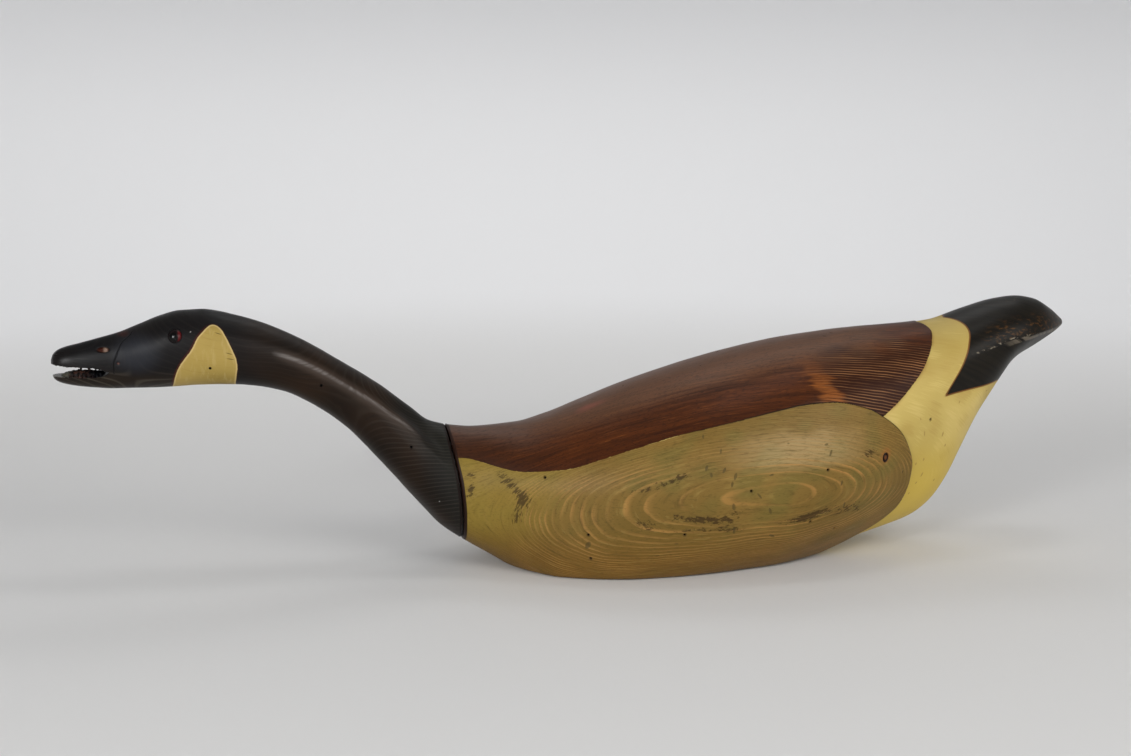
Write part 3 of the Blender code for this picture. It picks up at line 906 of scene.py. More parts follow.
def teeth_tree(material):
    """Small carved teeth, one on each point of the jaw line: each has its own size and lean."""
    tree = bpy.data.node_groups.new("teeth_along_jaw", "GeometryNodeTree")
    sockets = tree.interface
    sockets.new_socket("Jaw line", in_out="INPUT", socket_type="NodeSocketGeometry")
    for name, value in (("Tooth height", 3.2 * MM), ("Tooth radius", 1.5 * MM), ("Lean", 0.3)):
        sockets.new_socket(name, in_out="INPUT", socket_type="NodeSocketFloat").default_value = value
    sockets.new_socket("Seed", in_out="INPUT", socket_type="NodeSocketInt").default_value = 5
    sockets.new_socket("Teeth", in_out="OUTPUT", socket_type="NodeSocketGeometry")
    new, join = tree.nodes.new, tree.links.new
    given, result = new("NodeGroupInput"), new("NodeGroupOutput")
    tooth = new("GeometryNodeMeshCone")
    tooth.inputs["Vertices"].default_value = 7
    tooth.inputs["Radius Top"].default_value = 0.35 * MM
    join(given.outputs["Tooth radius"], tooth.inputs["Radius Bottom"])
    join(given.outputs["Tooth height"], tooth.inputs["Depth"])
    lean = new("FunctionNodeRandomValue")
    lean.data_type = "FLOAT_VECTOR"
    spread = new("ShaderNodeVectorMath")
    spread.operation = "SCALE"
    spread.inputs[0].default_value = (-1, -1, -1)
    join(given.outputs["Lean"], spread.inputs["Scale"])
    join(spread.outputs["Vector"], lean.inputs["Min"])
    join(given.outputs["Lean"], lean.inputs["Max"])
    join(given.outputs["Seed"], lean.inputs["Seed"])
    hanging = new("GeometryNodeInputNamedAttribute")
    hanging.inputs["Name"].default_value = "hanging"
    over = new("ShaderNodeMath")
    over.operation = "MULTIPLY"
    over.inputs[1].default_value = math.pi
    join(hanging.outputs["Attribute"], over.inputs[0])
    turn = new("ShaderNodeCombineXYZ")
    join(over.outputs[0], turn.inputs["X"])
    total = new("ShaderNodeVectorMath")
    join(lean.outputs["Value"], total.inputs[0])
    join(turn.outputs[0], total.inputs[1])
    size = new("FunctionNodeRandomValue")
    size.inputs[2].default_value = 0.65
    size.inputs[3].default_value = 1.25
    join(given.outputs["Seed"], size.inputs["Seed"])
    place = new("GeometryNodeInstanceOnPoints")
    join(given.outputs["Jaw line"], place.inputs["Points"])
    join(tooth.outputs["Mesh"], place.inputs["Instance"])
    join(total.outputs["Vector"], place.inputs["Rotation"])
    join(size.outputs[1], place.inputs["Scale"])
    real, paint = new("GeometryNodeRealizeInstances"), new("GeometryNodeSetMaterial")
    paint.inputs["Material"].default_value = material
    join(place.outputs["Instances"], real.inputs["Geometry"])
    join(real.outputs["Geometry"], paint.inputs["Geometry"])
    join(paint.outputs["Geometry"], result.inputs["Teeth"])
    return tree


def make_teeth(material):
    """The teeth of both jaws, as one loose mesh to be joined to the head."""
    tree = surface_tree("head_and_neck")
    points, hanging = [], []
    for side in (-1, 1):
        for x in np.arange(TEETH_FROM, TEETH_TO, TEETH_APART):
            edge = place_on_side(tree, x, 188.0, side)[0]
            points.append((x, edge[1] - side * 0.8, float(gape_floor(edge[None])[0]) - 0.7))
            hanging.append(0.0)
        for x in HANGING_TEETH:
            edge = place_on_side(tree, x, 204.0, side)[0]
            points.append((x, edge[1] - side * 2.4, float(gape_roof(edge[None])[0]) + 0.8))
            hanging.append(1.0)
    no_faces = np.empty((0, 3), int)
    teeth = mesh_object("jaw_teeth", np.array(points), no_faces, {"hanging": np.array(hanging)})
    modifier = teeth.modifiers.new("teeth", "NODES")
    modifier.node_group = teeth_tree(material)
    wanted = {"Tooth height": 3.4 * MM, "Tooth radius": 1.6 * MM, "Lean": 0.32, "Seed": 11}
    for item in modifier.node_group.interface.items_tree:
        if item.in_out == "INPUT" and item.name in wanted:
            modifier[item.identifier] = wanted[item.name]
    made_plain(teeth)
    return teeth


def make_head_and_neck(material):
    plan = NeckPlan()
    points, triangles = fine_net(neck_surface, plan.wanted, 60, 30)
    normals = outward_normals(points, triangles)
    shaped = bowed(points + normals * plan.relief(points)[:, None])
    head = mesh_object("carved_head_and_neck", shaped, triangles)
    sockets = [
        ball(f"socket_{index}", middle, [r + GAP for r in EYE_RADII], facing)
        for index, (middle, facing) in enumerate(plan.eyes)
    ]
    carved(head, [gape_cutter()] + sockets, "DIFFERENCE")
    carved(head, [make_teeth(material)], "UNION")
    store(head.data, plan.marks(mesh_points(head.data)))
    head.data.shade_smooth()
    head.data.set_sharp_from_angle(angle=math.radians(48))
    return head


# Node graphs, written as arithmetic

def sRGB(red, green, blue):
    """A colour as a screen shows it, from 0 to 255, in the linear values that a shader takes."""
    shares = (red / 255, green / 255, blue / 255)
    return tuple(c / 12.92 if c <= 0.04045 else ((c + 0.055) / 1.055) ** 2.4 for c in shares) + (1.0,)


class Field:
    """A value that varies over a surface: the output of a node, with arithmetic."""

    def __init__(self, shade, socket):
        self.shade = shade
        self.socket = socket

    def __add__(self, other):
        return self.shade.maths("ADD", self, other)

    def __sub__(self, other):
        return self.shade.maths("SUBTRACT", self, other)

    def __rsub__(self, other):
        return self.shade.maths("SUBTRACT", other, self)

    def __mul__(self, other):
        return self.shade.maths("MULTIPLY", self, other)

    def __truediv__(self, other):
        return self.shade.maths("DIVIDE", self, other)

    def __pow__(self, other):
        return self.shade.maths("POWER", self, other)

    __radd__ = __add__
    __rmul__ = __mul__


class Shade:
    """A material whose nodes are made as its formula is written."""

    def __init__(self, name):
        self.material = bpy.data.materials.new(name)
        self.material.use_nodes = True
        self.tree = self.material.node_tree
        self.shader = self.tree.nodes["Principled BSDF"]
        place = self.node("ShaderNodeTexCoord").outputs["Object"]
        split = self.node("ShaderNodeSeparateXYZ")
        self.tree.links.new(place, split.inputs[0])
        self.x, self.y, self.z = (Field(self, out) / MM for out in split.outputs)

    def node(self, kind, **settings):
        node = self.tree.nodes.new(kind)
        for name, value in settings.items():
            setattr(node, name, value)
        return node

    def feed(self, socket, value):
        if isinstance(value, Field):
            self.tree.links.new(value.socket, socket)
        else:
            socket.default_value = value

    def maths(self, operation, *values):
        node = self.node("ShaderNodeMath", operation=operation)
        for socket, value in zip(node.inputs, values):
            self.feed(socket, value)
        return Field(self, node.outputs[0])

    def attribute(self, name):
        return Field(self, self.node("ShaderNodeAttribute", attribute_name=name).outputs["Fac"])

    def step(self, value, low, high, start=0.0, end=1.0):
        """An eased change from start, where value is low, to end, where it is high."""
        node = self.node("ShaderNodeMapRange", interpolation_type="SMOOTHSTEP")
        for socket, given in zip(node.inputs, (value, low, high, start, end)):
            self.feed(socket, given)
        return Field(self, node.outputs[0])

    def vector(self, x, y, z):
        node = self.node("ShaderNodeCombineXYZ")
        for socket, value in zip(node.inputs, (x, y, z)):
            self.feed(socket, value)
        return Field(self, node.outputs[0])

    def noise(self, x, y, z, detail=2.0, roughness=0.5):
        """Cloudy noise about 0, from -0.5 to 0.5, with one bump for each unit of x, y and z."""
        node = self.node("ShaderNodeTexNoise")
        self.feed(node.inputs["Vector"], self.vector(x, y, z))
        self.feed(node.inputs["Scale"], 1.0)
        self.feed(node.inputs["Detail"], detail)
        self.feed(node.inputs["Roughness"], roughness)
        return Field(self, node.outputs["Fac"]) - 0.5

    def random(self, value):
        """A random number from 0 to 1 for each whole value."""
        node = self.node("ShaderNodeTexWhiteNoise", noise_dimensions="1D")
        self.feed(node.inputs["W"], value)
        return Field(self, node.outputs["Value"])

    def blend(self, first, second, share):
        """The first colour where share is 0, and the second where it is 1."""
        node = self.node("ShaderNodeMix", data_type="RGBA", clamp_factor=True)
        self.feed(node.inputs["Factor"], share)
        for key, colour in (("A", first), ("B", second)):
            socket = next(s for s in node.inputs if s.name == key and s.type == "RGBA")
            self.feed(socket, colour)
        return Field(self, next(s for s in node.outputs if s.type == "RGBA"))

    def finish(self, colour, roughness, height=None, depth=1.0, constants=()):
        """Join the formula to the shader: height is in millimetres, and constants are plain values."""
        self.feed(self.shader.inputs["Base Color"], colour)
        self.feed(self.shader.inputs["Roughness"], roughness)
        if height is not None:
            bump = self.node("ShaderNodeBump")
            self.feed(bump.inputs["Height"], height * MM)
            self.feed(bump.inputs["Distance"], 1.0)
            self.feed(bump.inputs["Strength"], depth)
            self.tree.links.new(bump.outputs[0], self.shader.inputs["Normal"])
        for name, value in dict(constants).items():
            self.shader.inputs[name].default_value = value
        return self.material


def late_wood(shade, rings, start, full, end):
    """The hard line that ends each growth ring, from 0 to 1: some rings are stronger than others."""
    number = shade.maths("FLOOR", rings)
    into = rings - number
    line = shade.step(into, start, full) * shade.step(into, end, 1.0, 1.0, 0.0)
    return line * (shade.random(number) * 0.5 + 0.5)


def body_wood():
    shade = Shade("stained_body_wood")
    x, y, z = shade.x, shade.y, shade.z
    radius, rings, clear, cloud, patch = (
        shade.attribute(name) for name in ("radius", "rings", "clear", "cloud", "patch")
    )
    late = shade.step(rings, 2.0, 3.5) * late_wood(shade, rings, 0.5, 0.86, 0.91)
    late = late + shade.step(rings, 2.0, 3.5, 1.0, 0.0) * late_wood(shade, rings, 0.8, 0.88, 0.93)
    fibre = shade.noise(x / 26, radius / 1.3, (y + z) / 34, 4, 0.66)
    streak = shade.noise(x / 75, radius / 4, (y + z) / 60, 3, 0.55)
    pores = shade.step(shade.noise(x / 7, y / 1.2, z / 1.2, 2, 0.6), 0.03, 0.16)

    # The olive flank: its rings are plain to see in the middle and fade away to the front, and a pale band
    # high on it is a painted highlight
    flank = shade.blend(sRGB(106, 84, 37), sRGB(126, 99, 48), cloud * 2.4 + 0.5)
    flank = shade.blend(flank, sRGB(98, 90, 42), shade.step(patch + cloud, -0.05, 0.3) * 0.55)
    # Painted highlight: a pale, streaky band across the upper flank stands in for a lamp's sheen
    painted_flank_sheen = shade.step(z, 98, 113) * shade.step(z + patch * 20, 124, 144, 1.0, 0.15)
    painted_flank_sheen = painted_flank_sheen * shade.step(shade.maths("ABSOLUTE", x - 184), 15, 85, 0.62, 0.0)
    flank = shade.blend(flank, sRGB(176, 152, 108), painted_flank_sheen * shade.step(fibre, -0.3, 0.2, 1.0, 0.55))
    flank = shade.blend(flank, sRGB(132, 110, 44), shade.step(x - z * 0.5, -115, -50, 0.75, 0.0))
    flank = shade.blend(flank, sRGB(108, 77, 30), shade.step(z, 12, 58, 0.7, 0.0))
    front = shade.step(x, -84, -64, 0.15, 1.0) * shade.step(z, 96, 128, 1.0, 0.4)
    front = front * shade.step(x, 110, 210, 0.8, 1.1)
    flank = shade.blend(flank, sRGB(162, 120, 64), late * clear * front)
    flank = shade.blend(flank, sRGB(72, 58, 26), shade.step(fibre, 0.02, 0.24) * 0.55)
    flank = shade.blend(flank, sRGB(154, 130, 72), shade.step(fibre, -0.26, -0.04, 0.45, 0.0))
    flank = shade.blend(flank, sRGB(70, 58, 28), pores * 0.28)

    # The mahogany back: darker at the front, with a painted sheen along its top, broken ring lines and an
    # orange patch at the rear
    on_back = shade.attribute("saddle")
    saddle = shade.blend(sRGB(50, 23, 6), sRGB(88, 44, 15), streak * 2.1 + 0.5)
    saddle = shade.blend(saddle, sRGB(34, 14, 4), shade.step(fibre + cloud * 0.4, 0.0, 0.26) * 0.6)
    saddle = shade.blend(saddle, sRGB(136, 78, 34), shade.step(fibre, -0.28, -0.04, 0.6, 0.0))
    saddle = shade.blend(saddle, sRGB(52, 22, 7), shade.step(on_back, 2, 16, 0.45, 0.0))
    # Painted highlight: the top of the back is painted paler, as the sheen of the light over it
    saddle = shade.blend(saddle, sRGB(110, 76, 50), shade.step(on_back + streak * 30, 30, 68, 0.0, 0.5))
    toward_front = shade.step(x + streak * 60, -110, -10, 1.0, 0.0)
    saddle = shade.blend(saddle, sRGB(44, 29, 20), toward_front * 0.5)
    # Painted highlight: towards the front, the top of the back is painted greyer and paler, as a sheen
    painted_top_sheen = shade.step(on_back + streak * 20, 14, 42)
    saddle = shade.blend(saddle, sRGB(122, 96, 82), toward_front * painted_top_sheen * 0.35)
    saddle = shade.blend(saddle, sRGB(28, 14, 8), pores * 0.5)
    rear = shade.step(x + streak * 70 - z * 0.3, 140, 185) * shade.step(z + patch * 30, 196, 212, 1.0, 0.0)
    comb = late_wood(shade, (radius + streak * 2.2 - FIRST_RING) / 2.9, 0.5, 0.74, 0.88)
    saddle = shade.blend(saddle, sRGB(42, 18, 7), rear * 0.9)
    comb = comb * rear * shade.step(fibre + clear * 0.4, -0.1, 0.36) * shade.step(y, 0, 20, 1.0, 0.4)
    saddle = shade.blend(saddle, sRGB(158, 110, 70), comb * 0.85)
    slant = (x + z * 0.5 - 299 + streak * 34) / 9
    tiger = shade.step(slant * slant, 0.0, 2.2, 1.0, 0.0) * shade.step(z + streak * 20, 168, 200, 1.0, 0.0)
    saddle = shade.blend(saddle, sRGB(168, 98, 42), tiger * shade.step(fibre, -0.1, 0.12, 1.0, 0.15) * 0.6)
    round_knot = shade.maths("SQRT", ((x - 4) / 15) ** 2.0 + ((y + 19) / 9) ** 2.0)
    round_knot = shade.step(round_knot + patch, 0.3, 1.2, 0.6, 0.0) * shade.step(z, 130, 140)
    saddle = shade.blend(saddle, sRGB(134, 74, 58), round_knot)

    # The cream rump and band, and the dark tail, whose lower bevel and crease are partly worn, partly
    # painted highlight
    cream = shade.blend(sRGB(180, 157, 86), sRGB(200, 177, 106), cloud * 2.4 + 0.5)
    # Painted shade: the cream is painted darker towards the top of the rump
    cream = shade.blend(cream, sRGB(166, 142, 76), shade.step(z, 150, 195, 0.0, 0.55))
    cream = shade.blend(cream, sRGB(166, 138, 70), shade.step(patch + fibre * 0.8, 0.02, 0.34) * 0.45)
    cream = shade.blend(cream, sRGB(216, 194, 124), shade.step(fibre - patch, 0.04, 0.3) * 0.3)
    cream = shade.blend(cream, sRGB(200, 172, 74), shade.step(z, 60, 130, 0.8, 0.0))
    below_crease = shade.attribute("crease")
    black = shade.blend(sRGB(15, 13, 10), sRGB(29, 25, 18), streak * 2.4 + 0.5)
    speckle = shade.step(shade.noise(x / 5, y / 2.5, z / 2.5, 3, 0.6), 0.0, 0.18)
    worn = shade.step(below_crease, -26, -12) * shade.step(below_crease, -4, 0, 1.0, 0.0)
    black = shade.blend(black, sRGB(88, 58, 26), worn * speckle * shade.step(x, 372, 400) * 0.6)
    # The tail's lower bevel is painted light grey in broken streaks: partly wear, partly a painted
    # highlight
    bevel = shade.step(below_crease, -0.4, 0.4) * shade.step(below_crease, 3.4, 5.6, 1.0, 0.0)
    rubbed_and_sheen = shade.step(streak, -0.16, 0.04) * shade.step(x, 398, 420)
    black = shade.blend(black, sRGB(116, 106, 92), bevel * rubbed_and_sheen * 0.6)
    # The crease along the tail is painted pale in specks: partly wear, partly a painted highlight
    crease_rub_and_sheen = shade.step(shade.maths("ABSOLUTE", below_crease + 1), 0.2, 1.8, 1.0, 0.0)
    black = shade.blend(black, sRGB(140, 130, 112), crease_rub_and_sheen * shade.step(x, 364, 376) * speckle * 0.8)

    edge = patch * 0.5 + fibre * 0.4
    tail_edge = shade.attribute("tail") + edge
    saddle_edge = on_back + edge + shade.noise(x / 3, y / 3, z / 3, 1) * 1.2
    flank_edge = shade.attribute("flank") + edge * 0.8
    is_tail = shade.step(tail_edge, -0.3, 0.3)
    is_saddle = shade.step(saddle_edge, -0.3, 0.3)
    is_flank = shade.step(flank_edge, -0.3, 0.3)
    colour = shade.blend(cream, black, is_tail)
    rim = shade.step(shade.maths("ABSOLUTE", tail_edge - 0.4), 0.3, 1.2, 1.0, 0.0)
    colour = shade.blend(colour, sRGB(124, 78, 34), rim * 0.75)
    bleed = shade.step(saddle_edge, -3.5, 0.0) * shade.step(patch, -0.1, 0.25)
    colour = shade.blend(colour, sRGB(140, 104, 54), bleed * 0.5)
    colour = shade.blend(colour, saddle, is_saddle)
    colour = shade.blend(colour, flank, is_flank)
    # Painted shadow: the scribed line and step at the flank's rear are painted dark, as the groove's own
    # dark and the shade of the step
    cut = shade.step(shade.maths("ABSOLUTE", flank_edge + 0.5), 0.3, 1.2, 1.0, 0.0)
    cut = cut * shade.step(shade.attribute("flank_along"), *SCRIBED_GROWS)
    colour = shade.blend(colour, sRGB(34, 23, 11), cut * 0.95)

    # Scuffs and dents, then the knot, the nail holes and the dark edge of the seam
    torn = shade.noise(x / 5, radius / 0.9, (y + z) / 7, 4, 0.68)
    scuffed = shade.step(shade.attribute("scuff") + torn * 3.4, 0.74, 1.12)
    scuffed = scuffed * shade.step(shade.attribute("scuff"), 0.12, 0.4)
    colour = shade.blend(colour, sRGB(52, 37, 18), scuffed * is_flank * 0.8)
    dent = shade.attribute("dent")
    dent_tint = shade.blend(sRGB(146, 118, 62), sRGB(74, 62, 33), is_flank)
    dent_tint = shade.blend(dent_tint, sRGB(22, 12, 8), is_saddle)
    colour = shade.blend(colour, dent_tint, shade.step(dent + fibre * 0.6, 0.1, 0.6) * 0.7)
    knot = shade.attribute("knot")
    colour = shade.blend(colour, sRGB(148, 88, 42), shade.step(knot + patch * 3, 1.1, 2.3, 0.4, 0.0))
    colour = shade.blend(colour, sRGB(96, 56, 30), shade.step(knot, 0.9, 1.15, 1.0, 0.0))
    ring_cut = shade.step(knot, 0.34, 0.6) * shade.step(knot, 0.9, 1.16, 1.0, 0.0)
    colour = shade.blend(colour, sRGB(26, 14, 8), ring_cut)
    nail = shade.attribute("nail")
    colour = shade.blend(colour, sRGB(66, 48, 26), shade.step(nail, NAIL_RADIUS, 2.6, 0.45, 0.0))
    hole = shade.step(nail, NAIL_RADIUS - 0.2, NAIL_RADIUS + 0.2, 1.0, 0.0)
    colour = shade.blend(colour, sRGB(10, 8, 6), hole)
    seam = shade.attribute("seam")
    colour = shade.blend(colour, sRGB(34, 17, 10), shade.step(seam + patch, 4.0, 4.8, 1.0, 0.0))

    roughness = 0.48 - is_tail * 0.1 - is_saddle * 0.08 - is_flank * 0.04 + fibre * 0.2 + scuffed * 0.1
    height = late * is_flank * 0.05 + fibre * 0.06
    return shade.finish(colour, roughness, height, constants={"Specular IOR Level": 0.13})


def dark_wood():
    shade = Shade("dark_stained_wood")
    x, y, z = shade.x, shade.y, shade.z
    radius, cloud = shade.attribute("radius"), shade.attribute("cloud")
    late = late_wood(shade, radius / 3.1, 0.6, 0.78, 0.86)
    fibre = shade.noise(x / 26, radius / 1.3, (y + z) / 34, 4, 0.64)

    # Blue-black on the head, brown along the neck, and grey-black towards the seam
    colour = shade.blend(sRGB(15, 14, 15), sRGB(22, 19, 18), cloud * 2.4 + 0.5)
    slanted = x + z * 0.4
    neck = shade.step(x, -335, -270) * shade.step(slanted, -125, -85, 1.0, 0.0)
    colour = shade.blend(colour, shade.blend(sRGB(20, 13, 7), sRGB(36, 23, 12), cloud * 2.4 + 0.5), neck)
    colour = shade.blend(colour, sRGB(28, 27, 23), shade.step(slanted, -125, -85))
    jowl = shade.step(z + cloud * 14, 186, 199, 1.0, 0.0) * shade.step(x, -330, -320, 1.0, 0.0)
    colour = shade.blend(colour, sRGB(34, 26, 18), jowl * 0.8)
    colour = shade.blend(colour, sRGB(9, 8, 7), shade.step(fibre, 0.0, 0.3) * 0.6)
    colour = shade.blend(colour, sRGB(56, 45, 35), shade.step(fibre, -0.3, -0.1, 0.35, 0.0))
    lines = jowl * 0.3 + shade.step(x, -320, -290, 0.03, 0.04) + shade.step(slanted, -165, -100, 0.0, 0.13)
    colour = shade.blend(colour, sRGB(92, 86, 75), late * lines)

    # The neck's side ridge, its crest polished and painted light as a highlight, and a painted bluish sheen
    # on the face
    crest = shade.attribute("ridge")
    on_ridge = shade.step(x, -292, -272) * shade.step(x, -178, -150, 1.0, 0.0)
    crest_glint_and_polish = shade.step(crest, 0.2, 3.2, 1.0, 0.0) * shade.step(fibre, -0.25, 0.15, 1.0, 0.25)
    # Painted highlight: the ridge's crest is painted lighter, broadly and then in a narrow glint line; it
    # is also less rough
    colour = shade.blend(colour, sRGB(74, 62, 54), shade.step(crest, 1, 9, 0.5, 0.0) * on_ridge)
    colour = shade.blend(colour, sRGB(138, 132, 128), crest_glint_and_polish * on_ridge * 0.55)
    # Painted highlight: a bluish sheen is painted on the face between the face line and the eye
    painted_face_sheen = shade.maths("SQRT", ((x + 407) / 24) ** 2.0 + ((z - 212) / 20) ** 2.0)
    colour = shade.blend(colour, sRGB(40, 43, 50), shade.step(painted_face_sheen, 0.3, 1.2, 0.5, 0.0))

    # The cheek patch, with a pale edge and a reddish stain in front of it
    cheek = shade.attribute("cheek") + fibre * 0.3 + shade.noise(x / 4, y / 4, z / 4, 1) * 0.4
    beside = shade.step(shade.maths("ABSOLUTE", cheek + 0.6), 0.4, 1.8, 1.0, 0.0)
    colour = shade.blend(colour, sRGB(76, 28, 17), beside * shade.step(x, -352, -340, 0.5, 0.1))
    cream = shade.blend(sRGB(146, 124, 62), sRGB(166, 142, 78), cloud * 2.4 + 0.5)
    cream = shade.blend(cream, sRGB(128, 102, 52), shade.step(fibre, 0.0, 0.3) * 0.4)
    veil = shade.step(shade.noise(x / 4, y / 9, z / 16, 3, 0.6), 0.0, 0.2)
    cream = shade.blend(cream, sRGB(176, 156, 100), veil * 0.4)
    cream = shade.blend(cream, sRGB(190, 166, 112), shade.step(cheek, 0.7, 1.9, 0.75, 0.0))
    on_cheek = shade.step(cheek, -0.25, 0.25)
    colour = shade.blend(colour, cream, on_cheek)
    scratch = shade.step(shade.attribute("scratch"), 0.5, 1.2, 0.9, 0.0)
    colour = shade.blend(colour, sRGB(78, 60, 26), scratch)

    # The bill: the face line and its nick, the rub above it, the nostrils and the jaws
    colour = shade.blend(colour, sRGB(5, 4, 4), shade.step(shade.attribute("face"), 0.3, 0.9, 0.95, 0.0))
    rub = shade.maths("SQRT", ((x + 419) / 6) ** 2.0 + ((z - 229) / 3.5) ** 2.0)
    colour = shade.blend(colour, sRGB(64, 27, 18), shade.step(rub, 0.3, 1.3, 0.4, 0.0))
    nick = shade.step(shade.attribute("nick") + fibre, 0.1, 0.9, 0.55, 0.0)
    colour = shade.blend(colour, sRGB(120, 78, 66), nick)
    speck = shade.step(shade.attribute("speck"), 0.5, 1.0, 0.7, 0.0)
    colour = shade.blend(colour, sRGB(170, 168, 164), speck)
    # The nostril is painted dark red-brown, with a pale band across its rear half
    nostril_tones = shade.blend(sRGB(54, 22, 12), sRGB(124, 102, 88), shade.step(x, -437, -434))
    nostril_tones = shade.blend(nostril_tones, sRGB(60, 34, 24), shade.step(x, -433, -431))
    colour = shade.blend(colour, nostril_tones, shade.step(shade.attribute("nostril"), 0.6, 1.0, 1.0, 0.0))
    nail = shade.attribute("nail")
    colour = shade.blend(colour, sRGB(5, 4, 4), shade.step(nail, NAIL_RADIUS, NAIL_RADIUS + 0.4, 1.0, 0.0))
    speckle = shade.noise(x / 2.4, y / 2.4, z / 2.4, 2)
    jaw = shade.blend(sRGB(24, 21, 20), sRGB(76, 50, 42), shade.step(speckle, -0.05, 0.2))
    jaw = shade.blend(jaw, sRGB(88, 90, 80), shade.step(x + speckle * 4, -469, -465, 0.6, 0.0))
    # Painted shade: the back of the mouth, deep between the bills, is painted near black
    jaw = shade.blend(jaw, sRGB(8, 9, 12), shade.step(x, -456, -443))
    colour = shade.blend(colour, jaw, shade.attribute("mouth"))
    seam = shade.attribute("seam")
    colour = shade.blend(colour, sRGB(20, 10, 6), shade.step(seam + cloud, 1.7, 2.4, 1.0, 0.0))
    polished = shade.step(x, -472, -452, 1.0, 0.0) + crest_glint_and_polish * on_ridge
    roughness = 0.42 + fibre * 0.16 + on_cheek * 0.1 - polished * 0.14
    height = late * lines * 0.05 + fibre * 0.05
    return shade.finish(colour, roughness, height, constants={"Specular IOR Level": 0.12})


def painted_glass():
    """Glass painted behind, as seen from outside: a black pupil and a dark red iris, lit at its rear."""
    shade = Shade("painted_eye_glass")
    out, rearward = shade.attribute("from_pupil"), shade.attribute("rearward")
    colour = shade.blend(sRGB(2, 2, 2), sRGB(14, 4, 5), shade.step(out, 3.4, 4.2))
    lit = shade.step(rearward, 1.4, 3.2) * shade.step(out, 3.4, 4.4)
    colour = shade.blend(colour, sRGB(82, 8, 12), lit * 0.85)
    colour = shade.blend(colour, sRGB(10, 4, 4), shade.step(shade.attribute("from_middle"), 5.2, 6.2))
    roughness = shade.step(rearward, -1, 1.5, 0.03, 0.3)
    return shade.finish(colour, roughness, constants={"Specular IOR Level": 0.2})


# The eyes

def make_eye(side, segments=64):
    """A glass dome with a flat back, turned about the way that the eye looks."""
    middle, facing = eye_place(f"{side}_eye")
    turn = np.array(Vector((0, 0, 1)).rotation_difference(Vector(facing)).to_matrix())
    radius, depth = EYE_RADII[0], EYE_DEPTH
    arcs = np.linspace(0, math.pi / 2, 20)[1:]
    profile = [(radius * math.sin(a), depth * math.cos(a)) for a in arcs] + [(radius - 0.4, EYE_RIM_BACK)]
    angles = np.arange(segments) / segments * 2 * math.pi
    rings = [np.stack([r * np.cos(angles), r * np.sin(angles), 0 * angles + h], axis=1) for r, h in profile]
    points = np.concatenate([[(0, 0, depth)]] + rings + [[(0, 0, EYE_BACK)]])
    last = len(points) - 1
    faces = []
    for j in range(segments):
        k = (j + 1) % segments
        faces.append((0, 1 + j, 1 + k))
        for ring in range(len(rings) - 1):
            a, b = 1 + ring * segments, 1 + (ring + 1) * segments
            faces += [(a + j, b + j, b + k), (a + j, b + k, a + k)]
        b = 1 + (len(rings) - 1) * segments
        faces.append((b + j, last, b + k))
    placed = points @ turn.T + middle
    offset = placed - middle
    pupil = offset + (PUPIL_FORWARD, 0, 0)
    return mesh_object(f"{side}_glass_eye", placed, np.array(faces), {
        "from_middle": np.hypot(points[:, 0], points[:, 1]),
        "from_pupil": np.hypot(pupil[:, 0], pupil[:, 2]),
        "rearward": offset[:, 0],
    })


# The studio

def make_studio():
    """A pale dish, flat under the decoy and curving up all round, with painted shade: a little darker low
    down and high up.
    """
    flat, bend, count = 0.72, 3.2, 96
    profile = [(flat * t, 0.0) for t in np.linspace(0.1, 1, 8)]
    arcs = np.linspace(0.03, math.radians(62), 40)
    profile += [(flat + bend * math.sin(a), bend * (1 - math.cos(a))) for a in arcs]
    angles = np.arange(count) / count * 2 * math.pi
    points = [(0, 0, 0)] + [(r * math.cos(a), r * math.sin(a), h) for r, h in profile for a in angles]
    faces = [(0, 1 + j, 1 + (j + 1) % count) for j in range(count)]
    for ring in range(len(profile) - 1):
        a, b = 1 + ring * count, 1 + (ring + 1) * count
        faces += [(a + j, b + j, b + (j + 1) % count, a + (j + 1) % count) for j in range(count)]
    mesh = bpy.data.meshes.new("studio_sweep")
    mesh.from_pydata([(x, y, z - 0.0004) for x, y, z in points], [], faces)
    mesh.shade_smooth()
    sweep = bpy.data.objects.new("studio_sweep", mesh)
    bpy.context.scene.collection.objects.link(sweep)
    shade = Shade("pale_sweep")
    # Painted shade: the paper is darker on the floor and high on the wall than low on the wall
    paper = shade.blend((0.735, 0.73, 0.72, 1), (0.86, 0.86, 0.865, 1), shade.step(shade.z, 3, 80))
    paper = shade.blend(paper, (0.68, 0.68, 0.69, 1), shade.step(shade.z, 300, 950))
    mesh.materials.append(shade.finish(paper, 0.7))


def area_light(name, place, aim, size, watts, colour=(1, 1, 1), spread=180):
    light = bpy.data.lights.new(name, "AREA")
    light.shape = "RECTANGLE"
    light.size, light.size_y = size
    light.energy = watts
    light.color = colour
    light.spread = math.radians(spread)
    obj = bpy.data.objects.new(name, light)
    obj.location = place
    obj.rotation_euler = (Vector(aim) - Vector(place)).to_track_quat("-Z", "Y").to_euler()
    obj.visible_camera = False
    bpy.context.scene.collection.objects.link(obj)


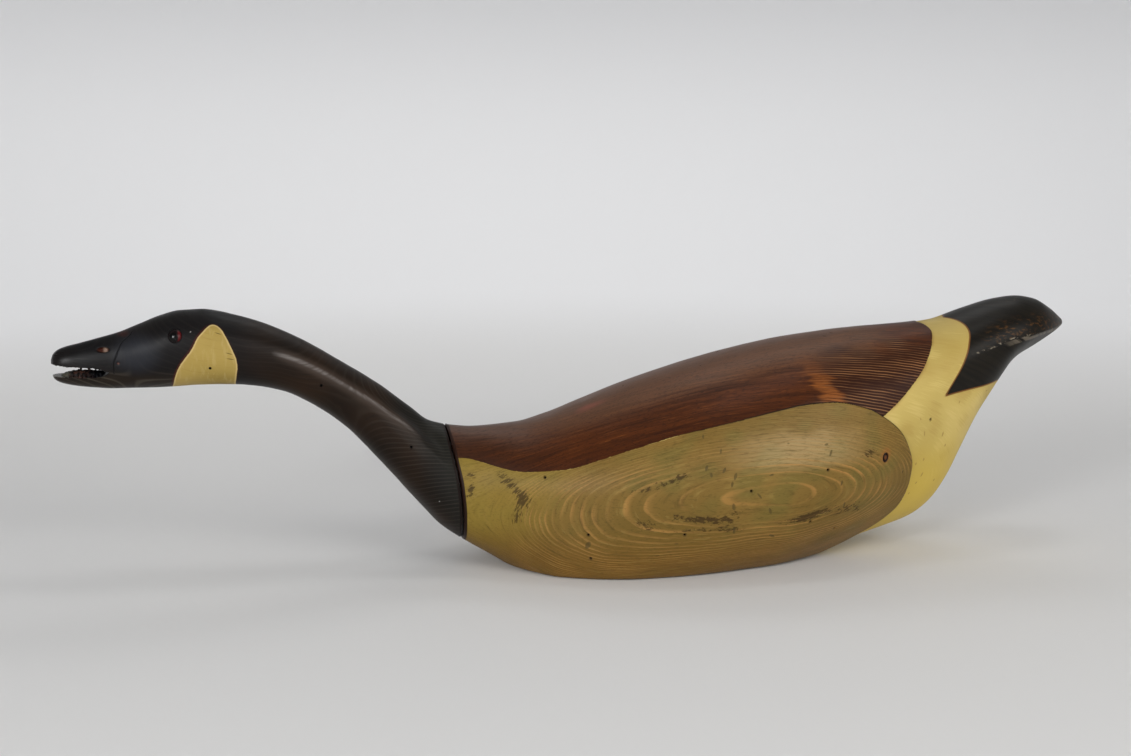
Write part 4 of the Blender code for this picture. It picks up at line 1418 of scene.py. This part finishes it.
def make_lights():
    """Soft lights beside the camera and over the decoy, with a bright core that shows in the eye."""
    area_light("left_of_camera", (-1.6, -2.2, 1.0), (-0.1, 0, 0.1), (1.4, 1.4), 22, (0.95, 0.97, 1))
    area_light("right_of_camera", (1.2, -2.2, 1.3), (0.1, 0, 0.1), (1.7, 1.7), 36, (1, 0.985, 0.96))
    area_light("spark", (-1.75, -2.1, 1.02), (-0.2, 0, 0.15), (0.5, 0.5), 20)
    area_light("over_neck", (0.35, 0.05, 1.9), (-0.2, 0, 0.15), (0.35, 0.35), 2.2)
    area_light("over_back", (0.45, 1.2, 1.7), (0.1, 0, 0.15), (1.2, 0.5), 3.5)
    area_light("behind", (0.1, 0.5, 2.5), (0.1, 2.2, 0.3), (2.6, 0.8), 8.5, spread=100)
    world = bpy.data.worlds.new("studio_air")
    world.use_nodes = True
    background = world.node_tree.nodes["Background"]
    background.inputs["Color"].default_value = (0.97, 0.98, 1, 1)
    background.inputs["Strength"].default_value = 0.28
    bpy.context.scene.world = world
    bpy.context.scene.view_settings.view_transform = "Standard"


def make_camera():
    """The photograph's view: the aim point falls on its own pixel, a little off the middle."""
    azimuth = math.radians(CAMERA_AZIMUTH)
    elevation = math.radians(CAMERA_ELEVATION)
    level = math.cos(elevation)
    back = Vector((math.sin(azimuth) * level, -math.cos(azimuth) * level, math.sin(elevation)))
    yaw = azimuth + math.atan((AIM_PIXEL[0] - PHOTO_SIZE[0] / 2) / FOCAL_PIXELS)
    pitch = elevation - math.atan((AIM_PIXEL[1] - PHOTO_SIZE[1] / 2) / FOCAL_PIXELS)
    looking = Vector((-math.sin(yaw) * math.cos(pitch), math.cos(yaw) * math.cos(pitch), -math.sin(pitch)))
    data = bpy.data.cameras.new("photo_view")
    data.sensor_fit = "HORIZONTAL"
    data.sensor_width = SENSOR_WIDTH
    data.lens = FOCAL_PIXELS / PHOTO_SIZE[0] * SENSOR_WIDTH
    camera = bpy.data.objects.new("photo_view", data)
    camera.location = Vector(CAMERA_AIM) + back * CAMERA_DISTANCE
    camera.rotation_euler = looking.to_track_quat("-Z", "Y").to_euler()
    bpy.context.scene.collection.objects.link(camera)
    bpy.context.scene.camera = camera


def dress(piece, material, slot, *nodes):
    """Give a finished piece its material and its body, and hide the solids that it stands for; slot is not
    used.
    """
    piece.data.materials.clear()
    piece.data.materials.append(material)
    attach(piece, "root")
    if nodes:
        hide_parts(*nodes)


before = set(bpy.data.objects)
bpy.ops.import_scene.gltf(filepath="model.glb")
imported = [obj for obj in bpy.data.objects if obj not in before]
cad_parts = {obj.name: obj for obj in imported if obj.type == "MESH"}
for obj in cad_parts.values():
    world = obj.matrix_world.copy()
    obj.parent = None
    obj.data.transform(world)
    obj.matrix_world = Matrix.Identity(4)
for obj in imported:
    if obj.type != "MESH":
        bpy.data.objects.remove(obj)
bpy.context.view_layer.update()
make_camera()
make_studio()
make_lights()
dress(make_body(), body_wood(), "body_wood", "body")
neck_stain = dark_wood()
dress(make_head_and_neck(neck_stain), neck_stain, "dark_wood", "head_and_neck")
glass = painted_glass()
for side in ("left", "right"):
    dress(make_eye(side), glass, "eye_glass", f"{side}_eye")
